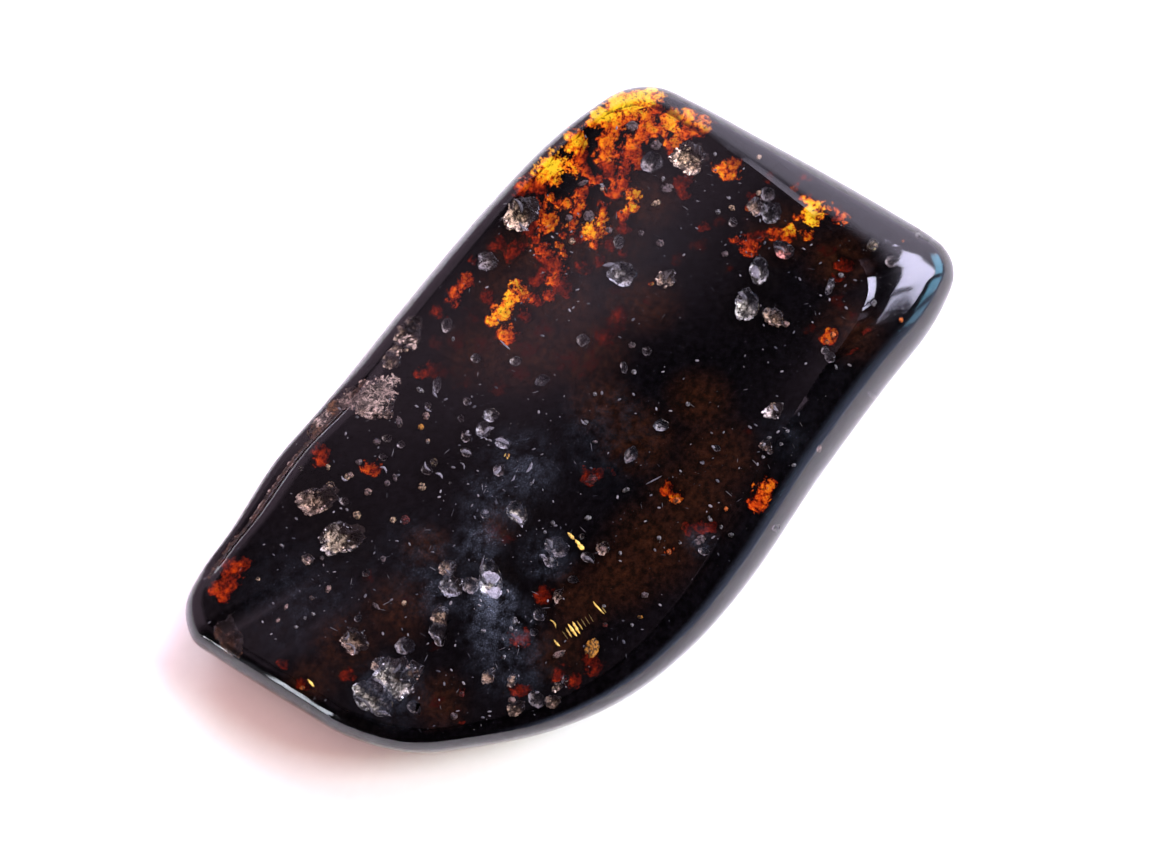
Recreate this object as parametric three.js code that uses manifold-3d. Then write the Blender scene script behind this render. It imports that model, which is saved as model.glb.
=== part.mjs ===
import * as THREE from "three";
import { mergeVertices } from "three/addons/utils/BufferGeometryUtils.js";
import Module from "manifold-3d";

// A polished slab of dark Baltic amber, one solid, in millimetres. X runs along the stone, Y across
// it and Z up. The origin is on the surface that the stone rests on, under the middle of its length
// and width.
const LENGTH = 61.6;
const WIDTH = 35.3;
const THICKNESS = 8.6;

// The underside is a shallow dome that rests on one small flat spot. The power makes it fuller than
// an ellipse.
const FLAT_SPOT_SHARE = 0.34;
const UNDERSIDE_POWER = 2.2;

// How finely the surface is divided.
const STATIONS = 104;
const ROUNDING_STEPS = 5;
const UNDERSIDE_STEPS = 6;
const FACE_SHARES = [0.1, 0.25, 0.45, 0.7];

const END = LENGTH / 2;
const SIDE = WIDTH / 2;

// Along one long side the polished face stops at a sharp line, and the stone's old crust lies below
// it as a narrow ledge: how deep the step is, how wide, and how far it is from the rounding.
const LEDGE_STEP = 0.8;
const LEDGE_STEP_WIDTH = 0.25;
const LEDGE_GAP = 0.55;

// The outline, anticlockwise from the broad end. Each row: x, y, height of the widest line, height
// of the polished face at its edge, how far in the edge is rounded, and how much of the ledge's
// depth is there.
const OUTLINE = [
  [END, -9.5, 3.8, 7.5, 5.8, 0],
  [END - 0.2, -2.5, 3.8, 7.5, 4.8, 0],
  [END - 0.5, 3.5, 3.7, 7.3, 3.8, 0],
  [END - 0.7, 9.0, 3.5, 7.0, 3.2, 0],
  [END - 1.2, 12.6, 3.3, 6.8, 2.6, 0],
  [END - 3.1, 14.8, 3.3, 6.8, 2.4, 0],
  [END - 6.7, SIDE - 1.6, 3.5, 7.0, 2.2, 0],
  [END - 11.6, SIDE - 0.7, 3.8, 7.4, 2.2, 0],
  [END - 20.1, SIDE - 0.2, 4.1, 7.8, 2.2, 0],
  [0.5, SIDE - 0.1, 4.3, 7.9, 2.1, 0],
  [-7.0, SIDE - 0.2, 4.5, 8.0, 2.0, 0.2],
  [-11.0, SIDE - 0.1, 4.5, 8.0, 2.0, 1],
  [-16.0, SIDE, 4.5, 8.0, 1.6, 1],
  [-22.5, SIDE - 0.8, 4.6, 7.9, 1.4, 1],
  [-26.6, SIDE - 1.1, 4.9, 7.8, 1.4, 0.8],
  [1.8 - END, SIDE - 1.8, 5.3, 7.7, 1.4, 0.1],
  [0.1 - END, SIDE - 3.8, 5.6, 7.6, 1.4, 0],
  [-END, SIDE - 6.0, 5.8, 7.6, 1.4, 0],
  [0.1 - END, 8.0, 5.9, 7.7, 1.4, 0],
  [0.3 - END, 4.0, 6.0, 7.7, 1.4, 0],
  [0.6 - END, 0.0, 6.1, 7.7, 1.4, 0],
  [2.2 - END, -4.6, 6.2, 7.7, 1.3, 0],
  [5.5 - END, -8.6, 6.2, 7.7, 1.3, 0],
  [-20.8, -12.6, 6.1, 7.7, 1.5, 0],
  [-15.5, -15.5, 5.7, 7.8, 2.0, 0],
  [-9.1, 0.5 - SIDE, 5.2, 7.9, 2.7, 0],
  [-2.0, -SIDE, 4.7, 8.0, 3.3, 0],
  [8.0, 0.4 - SIDE, 4.2, 8.0, 3.6, 0],
  [17.5, 0.4 - SIDE, 3.9, 7.9, 4.0, 0],
  [24.2, 0.2 - SIDE, 3.8, 7.7, 5.0, 0],
  [END - 3.3, 0.7 - SIDE, 3.8, 7.5, 6.3, 0],
  [END - 0.9, 2.1 - SIDE, 3.8, 7.4, 7.0, 0],
  [END - 0.1, 4.7 - SIDE, 3.8, 7.4, 6.6, 0],
];

// Low waves left in the face by hand polishing.
const WAVE_HEIGHT = 0.12;
const WAVE_ALONG = 0.21;
const WAVE_ACROSS = 0.27;

// Open pits in the face. Each row: x, y, width, depth, and number of crumbs of old crust left in it.
const PITS = [
  [24.3, 6.1, 2.9, 0.8, 4],
  [12.1, 14.0, 3.0, 0.8, 4],
  [7.0, 13.5, 1.7, 0.5, 0],
  [12.3, 4.4, 2.2, 0.6, 0],
  [13.9, 1.3, 1.6, 0.5, 0],
  [23.7, -2.0, 2.2, 0.7, 2],
  [21.4, -4.8, 1.8, 0.6, 0],
  [18.7, -4.3, 1.8, 0.5, 0],
  [15.6, -5.3, 2.0, 0.6, 1],
  [16.0, -7.5, 1.8, 0.6, 2],
  [26.0, -10.3, 1.1, 0.9, 0],
  [-1.3, 15.1, 2.4, 0.8, 2],
  [-4.0, 14.7, 2.0, 0.6, 1],
  [-7.7, 13.8, 3.4, 0.8, 5],
  [-18.3, 8.8, 3.2, 1.0, 4],
  [-16.8, 12.3, 2.8, 0.7, 4],
  [-9.5, 6.8, 1.2, 0.8, 0],
  [-9.1, -0.8, 1.8, 0.6, 0],
  [-14.6, -2.2, 2.4, 0.8, 0],
  [-16.8, -0.1, 2.4, 0.8, 3],
  [-24.3, 3.2, 2.0, 0.7, 1],
  [-20.5, -1.7, 1.8, 0.6, 0],
  [-27.1, -0.5, 2.6, 0.8, 2],
  [-24.9, -0.9, 3.2, 0.9, 4],
  [-25.9, -3.5, 1.2, 0.5, 0],
  [-21.7, -9.7, 1.4, 0.6, 1],
  [-19.7, -11.6, 1.4, 0.5, 0],
  [-12.7, -7.1, 1.2, 0.5, 0],
  [-9.7, -4.8, 1.9, 0.5, 0],
  [-5.1, 5.3, 1.5, 0.5, 0],
];
const FINE_PIT_WIDTH = 2.7;

// The chip at the narrow end's corner: a small hollow with one long crumb left in it.
const CHIP = { x: 1.4 - END, y: 11.2, width: 3.0, depth: 0.9 };

const AMBER_COLOUR = 0x17100f;
const AMBER_ROUGHNESS = 0.06;

const QUARTER_TURN = Math.PI / 2;
const GOLDEN_ANGLE = 2.4;

const { clamp, lerp, smoothstep } = THREE.MathUtils;

// One station for each step round the outline: its place, its heights, its share of the ledge, and
// its distance from the middle of the stone as seen square to the outline.
function stationsOf(outline) {
  const line = new THREE.CatmullRomCurve3(
    outline.map(([x, y, edge]) => new THREE.Vector3(x, y, edge)),
    true,
  );
  const shoulder = new THREE.CatmullRomCurve3(
    outline.map(([, , , face, round, ledge]) => new THREE.Vector3(face, round, ledge)),
    true,
  );
  return Array.from({ length: STATIONS }, (_, i) => {
    const { x, y, z: edge } = line.getPoint(i / STATIONS);
    const along = line.getTangent(i / STATIONS);
    const reach = (along.y * x - along.x * y) / Math.hypot(along.x, along.y);
    const { x: face, y: round, z: ledge } = shoulder.getPoint(i / STATIONS);
    return { x, y, edge, face, round, ledge: clamp(ledge, 0, 1), reach };
  });
}

const stations = stationsOf(OUTLINE);

function wave(x, y) {
  return WAVE_HEIGHT * Math.sin(WAVE_ALONG * x + 0.6) * Math.sin(WAVE_ACROSS * y + 1.1);
}

// How far the ledge lies below the face at a distance in from the outline.
function ledgeDepth(station, distance) {
  const line = station.round + LEDGE_GAP;
  const start = smoothstep(distance, 0, 0.6 * line);
  const step = smoothstep(distance, line - LEDGE_STEP_WIDTH, line);
  return LEDGE_STEP * station.ledge * start * (1 - step);
}

// Height of the upper surface on the way from a station to the middle, at a share of that way.
function faceHeight(station, share) {
  const distance = share * station.reach;
  const drop = ledgeDepth(station, distance);
  if (distance < station.round) {
    const left = 1 - distance / station.round;
    return station.edge + (station.face - station.edge) * Math.sqrt(1 - left * left) - drop;
  }
  const rise = smoothstep(share, station.round / station.reach, 1);
  const crown = THICKNESS - WAVE_HEIGHT + wave(station.x * (1 - share), station.y * (1 - share));
  return lerp(station.face, crown, rise) - drop;
}

// Height of the upper surface over any point of the stone.
function faceHeightAt(x, y) {
  const turnTo = (s) => Math.abs(Math.atan2(s.x * y - s.y * x, s.x * x + s.y * y));
  const station = stations.reduce((best, s) => (turnTo(s) < turnTo(best) ? s : best));
  const share = 1 - Math.hypot(x, y) / Math.hypot(station.x, station.y);
  return faceHeight(station, Math.max(share, 0));
}

function movedInward(station, share, z) {
  return new THREE.Vector3(station.x * (1 - share), station.y * (1 - share), z);
}

// The rings of the stone's surface, from the flat spot below, out round the edge, to the middle of
// the polished face.
function stoneRings() {
  const underside = [];
  for (let i = UNDERSIDE_STEPS; i > 0; i--) {
    const way = (i / UNDERSIDE_STEPS) ** 2;
    const fullness = (1 - (1 - way) ** UNDERSIDE_POWER) ** (1 / UNDERSIDE_POWER);
    const share = way * (1 - FLAT_SPOT_SHARE);
    underside.push(stations.map((s) => movedInward(s, share, s.edge * (1 - fullness))));
  }
  const shares = [];
  for (let i = 0; i <= ROUNDING_STEPS; i++) {
    const turn = (QUARTER_TURN * i) / ROUNDING_STEPS;
    shares.push((s) => (s.round * (1 - Math.cos(turn))) / s.reach);
  }
  shares.push((s) => (s.round + LEDGE_GAP - LEDGE_STEP_WIDTH) / s.reach);
  for (const way of [0, ...FACE_SHARES]) {
    shares.push((s) => lerp((s.round + LEDGE_GAP) / s.reach, 1, way));
  }
  const upper = shares.map((share) =>
    stations.map((s) => movedInward(s, share(s), faceHeight(s, share(s)))),
  );
  return [...underside, ...upper];
}

// A closed skin over rings of equal length, each end closed by a fan to a point in its middle.
function closedSkin(rings, firstMiddle, lastMiddle) {
  const count = rings[0].length;
  const positions = rings.flat().flatMap((p) => p.toArray());
  const triangles = [];
  for (let r = 0; r + 1 < rings.length; r++) {
    for (let i = 0; i < count; i++) {
      const a = r * count + i;
      const b = r * count + ((i + 1) % count);
      triangles.push(a, b, b + count, a, b + count, a + count);
    }
  }
  const first = rings.length * count;
  const last = first + 1;
  const top = (rings.length - 1) * count;
  for (let i = 0; i < count; i++) {
    const next = (i + 1) % count;
    triangles.push(first, next, i);
    triangles.push(last, top + i, top + next);
  }
  positions.push(...firstMiddle.toArray(), ...lastMiddle.toArray());
  const geometry = new THREE.BufferGeometry();
  geometry.setAttribute("position", new THREE.Float32BufferAttribute(positions, 3));
  geometry.setIndex(triangles);
  return geometry;
}

// A lumpy ball: an icosahedron's faces pushed in and out by a few slow waves.
function lump(x, y, z, radii, seed, detail) {
  const geometry = new THREE.IcosahedronGeometry(1, detail);
  geometry.deleteAttribute("normal");
  geometry.deleteAttribute("uv");
  const ball = mergeVertices(geometry);
  const point = new THREE.Vector3();
  const place = ball.getAttribute("position");
  for (let i = 0; i < place.count; i++) {
    point.fromBufferAttribute(place, i);
    const bump =
      Math.sin(3.3 * point.x + 1.7 * seed) +
      Math.sin(3.9 * point.y + 2.3 * seed) +
      Math.sin(4.7 * point.z + 5.1 * point.x + 2.9 * seed);
    point.multiplyScalar(1 + 0.09 * bump).multiply(radii);
    place.setXYZ(i, point.x + x, point.y + y, point.z + z);
  }
  return ball;
}

const wasm = await Module();
wasm.setup();

function solidFrom(geometry) {
  return new wasm.Manifold(
    new wasm.Mesh({
      numProp: 3,
      vertProperties: new Float32Array(geometry.getAttribute("position").array),
      triVerts: new Uint32Array(geometry.index.array),
    }),
  );
}

function geometryFrom(solid) {
  const mesh = solid.getMesh();
  const geometry = new THREE.BufferGeometry();
  geometry.setAttribute("position", new THREE.BufferAttribute(mesh.vertProperties, 3));
  geometry.setIndex(new THREE.BufferAttribute(mesh.triVerts, 1));
  geometry.computeVertexNormals();
  return geometry;
}

// One open pit, and the crumbs that stand on its floor.
function pitAndCrumbs([x, y, width, depth, crumbs], seed) {
  const surface = faceHeightAt(x, y);
  const half = width / 2;
  const stretch = 1 + 0.16 * Math.sin(seed);
  const radii = new THREE.Vector3(half * stretch, half / stretch, depth);
  const bowl = lump(x, y, surface, radii, seed, width > FINE_PIT_WIDTH ? 2 : 1);
  const grains = Array.from({ length: crumbs }, (_, i) => {
    const out = half * 0.62 * Math.sqrt((i + 0.5) / crumbs);
    const turn = GOLDEN_ANGLE * i + seed;
    const size = half * (0.3 + 0.08 * Math.sin(3 * i + seed));
    const floor = surface - depth * Math.sqrt(1 - (out / half) ** 2) - 0.2 * size;
    const grainRadii = new THREE.Vector3(size, size * 0.8, size * 0.7);
    return lump(x + out * Math.cos(turn), y + out * Math.sin(turn), floor, grainRadii, seed + i, 0);
  });
  return { bowl, grains };
}

// The chip's hollow opens through the edge, and its crumb lies along it like a seed.
function chipAndCrumb({ x, y, width, depth }) {
  const surface = faceHeightAt(x, y);
  const bowl = lump(x, y, surface, new THREE.Vector3(width * 0.36, width / 2, depth), 3, 2);
  const crumbRadii = new THREE.Vector3(width * 0.16, width * 0.34, depth * 0.5);
  const crumb = lump(x + 0.2, y + 0.1, surface - depth * 0.8, crumbRadii, 5, 1);
  return { bowl, grains: [crumb] };
}

function amberStone() {
  const flatMiddle = new THREE.Vector3(0, 0, 0);
  const crown = new THREE.Vector3(0, 0, THICKNESS - WAVE_HEIGHT + wave(0, 0));
  let stone = solidFrom(closedSkin(stoneRings(), flatMiddle, crown));
  const hollows = PITS.map((pit, i) => pitAndCrumbs(pit, i + 1));
  hollows.push(chipAndCrumb(CHIP));
  for (const { bowl } of hollows) {
    stone = stone.subtract(solidFrom(bowl));
  }
  for (const grain of hollows.flatMap(({ grains }) => grains)) {
    stone = stone.add(solidFrom(grain));
  }
  const amber = new THREE.MeshStandardMaterial({
    color: AMBER_COLOUR,
    roughness: AMBER_ROUGHNESS,
    metalness: 0,
    flatShading: true,
  });
  const mesh = new THREE.Mesh(geometryFrom(stone), amber);
  mesh.name = "amber_stone";
  return mesh;
}

const amberSpecimen = new THREE.Group();
amberSpecimen.add(amberStone());

export default amberSpecimen;
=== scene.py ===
import math
import random

import bmesh
import bpy
import numpy as np
from mathutils import Matrix, Vector, noise
from mathutils.bvhtree import BVHTree


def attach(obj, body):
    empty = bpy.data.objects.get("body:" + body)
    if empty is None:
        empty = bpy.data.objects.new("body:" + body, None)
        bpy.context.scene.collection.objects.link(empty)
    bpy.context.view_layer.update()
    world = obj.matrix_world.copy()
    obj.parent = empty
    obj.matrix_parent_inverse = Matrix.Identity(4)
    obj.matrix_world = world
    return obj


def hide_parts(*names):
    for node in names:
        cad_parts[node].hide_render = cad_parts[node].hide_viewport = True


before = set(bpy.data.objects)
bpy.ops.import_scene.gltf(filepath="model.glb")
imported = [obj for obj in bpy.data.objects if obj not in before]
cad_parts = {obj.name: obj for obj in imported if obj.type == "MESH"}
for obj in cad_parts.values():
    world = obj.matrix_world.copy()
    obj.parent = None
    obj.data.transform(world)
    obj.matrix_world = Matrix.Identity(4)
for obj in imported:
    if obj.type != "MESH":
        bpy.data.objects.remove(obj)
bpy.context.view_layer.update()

MM = 0.001

# The line of sight
# The stone is seen from above, across its length, from about four stone lengths away. A place that
# is read in the photograph is found on the stone along this camera's line through that pixel.
PHOTO_WIDTH = 1163
PHOTO_HEIGHT = 853
PHOTO_PIXELS_PER_MM = 12.6
PIXEL = MM / PHOTO_PIXELS_PER_MM
LENS = 90.0
FILM_WIDTH = 36.0
SIGHT_AZIMUTH = math.radians(-55)
SIGHT_ELEVATION = math.radians(66)
SIGHT_DISTANCE = 227.3 * MM
SIGHT_TARGET = Vector((0.96, 0.32, 4.14)) * MM

towards_camera = Vector((
    math.sin(SIGHT_AZIMUTH) * math.cos(SIGHT_ELEVATION),
    -math.cos(SIGHT_AZIMUTH) * math.cos(SIGHT_ELEVATION),
    math.sin(SIGHT_ELEVATION),
))
picture_right = Vector((math.cos(SIGHT_AZIMUTH), math.sin(SIGHT_AZIMUTH), 0))
picture_up = towards_camera.cross(picture_right)
camera_place = SIGHT_TARGET + SIGHT_DISTANCE * towards_camera


def line_of_sight(px, py):
    focal_pixels = LENS / FILM_WIDTH * PHOTO_WIDTH
    across = (px - PHOTO_WIDTH / 2) / focal_pixels
    down = (py - PHOTO_HEIGHT / 2) / focal_pixels
    return (across * picture_right - down * picture_up - towards_camera).normalized()


camera_data = bpy.data.cameras.new("camera")
camera_data.lens = LENS
camera_data.sensor_width = FILM_WIDTH
camera = bpy.data.objects.new("camera", camera_data)
bpy.context.scene.collection.objects.link(camera)
turn = Matrix((picture_right, picture_up, towards_camera)).transposed()
camera.matrix_world = Matrix.Translation(camera_place) @ turn.to_4x4()
bpy.context.scene.camera = camera

# The polished skin
# The stone is one slab of fossil resin, ground to a freeform shape by hand and polished all over. Its
# edge is rounded, its underside is a shallow dome, and along one long side the old crust is left as
# a low ledge.
LENGTH = 61.6
WIDTH = 35.3
THICKNESS = 8.6
END = LENGTH / 2
SIDE = WIDTH / 2
FLAT_SPOT_SHARE = 0.34
UNDERSIDE_POWER = 2.2
LEDGE_STEP = 0.8
LEDGE_STEP_WIDTH = 0.85
LEDGE_GAP = 0.90
CORNER_SPREAD = 7.0
# Slow waves that grinding by hand has left in the face.
WAVE_HEIGHT = 0.12
WAVE_ALONG = 0.21
WAVE_ACROSS = 0.27
# The middle of the face is one smooth dome, fitted to the heights at these shares of the way in. It
# takes over from the edge between two more.
DOME_SHARES = np.linspace(0.12, 1, 23)
DOME_BEGINS = 0.10
DOME_ALONE = 0.36
DOME_POWERS = 7
# The outline, anticlockwise from the broad end. Each row: x, y, height of the widest line, height
# of the polished face at its edge, how far in the edge is rounded, and the ledge's share.
OUTLINE = np.array([
    (END, -9.5, 3.8, 7.5, 5.8, 0),
    (END - 0.2, -2.5, 3.8, 7.5, 4.8, 0),
    (END - 0.5, 3.5, 3.7, 7.3, 3.8, 0),
    (END - 0.7, 9.0, 3.5, 7.0, 3.2, 0),
    (END - 1.2, 12.6, 3.3, 6.8, 2.6, 0),
    (END - 3.1, 14.8, 3.3, 6.8, 2.4, 0),
    (END - 6.7, SIDE - 1.6, 3.5, 7.0, 2.2, 0),
    (END - 11.6, SIDE - 0.7, 3.8, 7.4, 2.2, 0),
    (END - 20.1, SIDE - 0.2, 4.1, 7.8, 2.2, 0),
    (0.5, SIDE - 0.1, 4.3, 7.9, 2.1, 0),
    (-7.0, SIDE - 0.2, 4.5, 8.0, 2.0, 0.2),
    (-11.0, SIDE - 0.1, 4.5, 8.0, 2.0, 1),
    (-16.0, SIDE, 4.5, 8.0, 1.6, 1),
    (-22.5, SIDE - 0.8, 4.6, 7.9, 1.4, 1),
    (-26.6, SIDE - 1.1, 4.9, 7.8, 1.4, 0.8),
    (1.8 - END, SIDE - 1.8, 5.3, 7.7, 1.4, 0.1),
    (0.1 - END, SIDE - 3.8, 5.6, 7.6, 1.4, 0),
    (-END, SIDE - 6.0, 5.8, 7.6, 1.4, 0),
    (0.1 - END, 8.0, 5.9, 7.7, 1.4, 0),
    (0.3 - END, 4.0, 6.0, 7.7, 1.4, 0),
    (0.6 - END, 0.0, 6.1, 7.7, 1.4, 0),
    (2.2 - END, -4.6, 6.2, 7.7, 1.3, 0),
    (5.5 - END, -8.6, 6.2, 7.7, 1.3, 0),
    (-20.8, -12.6, 6.1, 7.7, 1.5, 0),
    (-15.5, -15.5, 5.7, 7.8, 2.0, 0),
    (-9.1, 0.5 - SIDE, 5.2, 7.9, 2.7, 0),
    (-2.0, -SIDE, 4.7, 8.0, 3.3, 0),
    (8.0, 0.4 - SIDE, 4.2, 8.0, 3.6, 0),
    (17.5, 0.4 - SIDE, 3.9, 7.9, 4.0, 0),
    (24.2, 0.2 - SIDE, 3.8, 7.7, 5.0, 0),
    (END - 3.1, 0.69 - SIDE, 3.8, 7.5, 6.3, 0),
    (END - 1.88, 1.1 - SIDE, 3.8, 7.45, 6.6, 0),
    (END - 0.88, 1.9 - SIDE, 3.8, 7.4, 6.8, 0),
    (END - 0.23, 3.0 - SIDE, 3.8, 7.4, 6.8, 0),
    (END, 4.26 - SIDE, 3.8, 7.4, 6.6, 0),
])


def smooth_step(x, low, high):
    share = np.clip((x - low) / (high - low), 0, 1)
    return share * share * (3 - 2 * share)


def bump_of(places, middle, radius, hard, soft):
    """1 at the places near the middle of a spot, falling to 0 between two shares of its radius."""
    distance = np.linalg.norm(places - np.array(middle), axis=1)
    return 1 - smooth_step(distance, hard * radius, soft * radius)


def curve_through(points, steps):
    """A closed smooth curve through the points: its places and its directions, steps to a span."""
    before = np.roll(points, 1, axis=0)
    after = np.roll(points, -1, axis=0)
    beyond = np.roll(points, -2, axis=0)

    def span(a, b):
        return np.sqrt(np.linalg.norm(a - b, axis=1))[:, None]

    gap = span(points, after)
    gap[gap < 1e-4] = 1
    gap_before = span(before, points)
    gap_before = np.where(gap_before < 1e-4, gap, gap_before)
    gap_after = span(after, beyond)
    gap_after = np.where(gap_after < 1e-4, gap, gap_after)
    ahead = (after - points) / gap
    leave = (points - before) / gap_before - (after - before) / (gap_before + gap) + ahead
    arrive = ahead - (beyond - points) / (gap + gap_after) + (beyond - after) / gap_after
    leave = leave * gap
    arrive = arrive * gap
    square = 3 * (after - points) - 2 * leave - arrive
    cube = 2 * (points - after) + leave + arrive
    way = (np.arange(steps) / steps)[None, :, None]
    points, leave, square, cube = (part[:, None] for part in (points, leave, square, cube))
    places = points + leave * way + square * way**2 + cube * way**3
    directions = leave + 2 * square * way + 3 * cube * way**2
    return places.reshape(-1, 3), directions.reshape(-1, 3)


def dome_terms(x, y):
    """The powers of x and y, up to the sixth, that the middle of the face is fitted with."""
    powers = [(i, j) for i in range(DOME_POWERS) for j in range(DOME_POWERS - i)]
    return np.stack([(x / END) ** i * (y / SIDE) ** j for i, j in powers], axis=-1)


class Stations:
    """Places round the outline, with the heights and the rounding of the edge there."""

    def __init__(self, steps):
        line, along = curve_through(OUTLINE[:, :3], steps)
        shoulder, _ = curve_through(OUTLINE[:, 3:], steps)
        self.x, self.y, self.edge = line.T
        self.face, self.round, self.ledge = shoulder.T
        self.ledge = np.clip(self.ledge, 0, 1)
        reach = (along[:, 1] * self.x - along[:, 0] * self.y) / np.hypot(along[:, 0], along[:, 1])
        self.reach = self.evened(reach, CORNER_SPREAD)
        self.round = self.evened(self.round, CORNER_SPREAD / 2)
        shares = [np.full(len(self.x), share) for share in DOME_SHARES]
        x, y = [np.concatenate([line * (1 - share) for share in shares]) for line in (self.x, self.y)]
        heights = np.concatenate([self.crown(share) for share in shares])
        self.dome = np.linalg.lstsq(dome_terms(x, y), heights, rcond=None)[0]

    def evened(self, values, spread):
        """The values averaged along the outline over a spread in millimetres."""
        spans = np.hypot(np.roll(self.x, -1) - self.x, np.roll(self.y, -1) - self.y)
        arc = np.cumsum(spans)
        apart = np.abs(arc[:, None] - arc)
        apart = np.minimum(apart, arc[-1] - apart)
        weights = np.exp(-((apart / spread) ** 2)) * spans
        return weights @ values / weights.sum(axis=1)

    def ledge_drop(self, distance):
        """How far the ledge of old crust lies below the face at a distance from the outline."""
        line = self.round + LEDGE_GAP
        start = smooth_step(distance, 0, 0.6 * line)
        step = smooth_step(distance, line - LEDGE_STEP_WIDTH, line)
        return LEDGE_STEP * self.ledge * start * (1 - step)

    def crown(self, share):
        """Height of the face without its waves at a share of the way from the outline to the middle."""
        rise = smooth_step(share, self.round / self.reach, 1)
        return self.face + (THICKNESS - WAVE_HEIGHT - self.face) * rise

    def upper_ring(self, share):
        """The points of the upper surface at a share of the way from the outline to the middle."""
        distance = share * self.reach
        x = self.x * (1 - share)
        y = self.y * (1 - share)
        wave = WAVE_HEIGHT * np.sin(WAVE_ALONG * x + 0.6) * np.sin(WAVE_ACROSS * y + 1.1)
        left = np.clip(1 - distance / self.round, 0, 1)
        rounding = self.edge + (self.face - self.edge) * np.sqrt(1 - left * left)
        inner = smooth_step(share, DOME_BEGINS, DOME_ALONE)
        crown = self.crown(share) * (1 - inner) + dome_terms(x, y) @ self.dome * inner
        crown = crown + wave * smooth_step(share, self.round / self.reach, 1)
        z = np.where(distance < self.round, rounding, crown) - self.ledge_drop(distance)
        return np.stack([x, y, z], axis=1) * MM

    def lower_ring(self, way):
        """The points of the underside at a share of the way from the outline to the flat spot."""
        share = way * (1 - FLAT_SPOT_SHARE)
        fullness = (1 - (1 - way) ** UNDERSIDE_POWER) ** (1 / UNDERSIDE_POWER)
        x = self.x * (1 - share)
        y = self.y * (1 - share)
        return np.stack([x, y, self.edge * (1 - fullness)], axis=1) * MM

    def rings(self, under_steps, round_steps, ledge_steps, face_steps):
        """Rings from the flat spot below, out round the edge and in over the face."""
        rings = [self.lower_ring((i / under_steps) ** 2) for i in range(under_steps, 0, -1)]
        for i in range(round_steps + 1):
            turned = 1 - math.cos(math.pi / 2 * i / round_steps)
            rings.append(self.upper_ring(self.round * turned / self.reach))
        for i in range(1, ledge_steps):
            inward = self.round + (LEDGE_GAP - LEDGE_STEP_WIDTH) * i / ledge_steps
            rings.append(self.upper_ring(inward / self.reach))
        for i in range(ledge_steps):
            inward = self.round + LEDGE_GAP - LEDGE_STEP_WIDTH * (1 - i / ledge_steps)
            rings.append(self.upper_ring(inward / self.reach))
        for i in range(face_steps):
            start = (self.round + LEDGE_GAP) / self.reach
            rings.append(self.upper_ring(start + (1 - start) * i / face_steps))
        return rings


def closed_skin(name, rings):
    """A mesh over the rings, with a fan to a middle point at each end."""
    count = len(rings[0])
    middles = [ring.mean(axis=0)[None] * (0, 0, 1) for ring in (rings[0], rings[-1])]
    points = np.concatenate(rings + middles)
    first = len(rings) * count
    last = first + 1
    top = (len(rings) - 1) * count
    faces = []
    for start in range(0, top, count):
        for i in range(count):
            after = (i + 1) % count
            faces.append((start + i, start + after, start + count + after, start + count + i))
    for i in range(count):
        after = (i + 1) % count
        faces.append((first, after, i))
        faces.append((last, top + i, top + after))
    mesh = bpy.data.meshes.new(name)
    mesh.from_pydata(points.tolist(), [], faces)
    mesh.polygons.foreach_set("use_smooth", [True] * len(mesh.polygons))
    return mesh


def added(name, mesh):
    piece = bpy.data.objects.new(name, mesh)
    bpy.context.scene.collection.objects.link(piece)
    return piece


skin_stations = Stations(12)
skin_rings = skin_stations.rings(under_steps=14, round_steps=12, ledge_steps=6, face_steps=26)
stone = added("stone", closed_skin("stone", skin_rings))
smooth_skin = BVHTree.FromObject(stone, bpy.context.evaluated_depsgraph_get())


def on_skin(px, py):
    """The place on the polished skin that is seen at a pixel, and the skin's normal there."""
    place, normal, _, _ = smooth_skin.ray_cast(camera_place, line_of_sight(px, py))
    return place, normal


AMBER_IOR = 1.54


def under_skin(px, py, depth):
    """The place a depth below the face on the line of sight, bent as the polished face bends it."""
    place, normal = on_skin(px, py)
    sight = line_of_sight(px, py)
    cosine = -sight.dot(normal)
    ratio = 1 / AMBER_IOR
    bend = ratio * cosine - math.sqrt(1 - ratio**2 * (1 - cosine**2))
    inward = ratio * sight + bend * normal
    return place + inward * (depth / -inward.z)


# The open pits
# Gas bubbles and pockets of bark dust that grinding has opened: bowls in the face. Some hold pale
# crumbly crust, some have a smooth grey bloom, and the small ones are rings with a black middle of
# painted shade. Their finishes paint light on the wall facing the key lamp and shade on the other.
CRUMBLY = 0
BLOOM = 1
RING = 2
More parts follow.
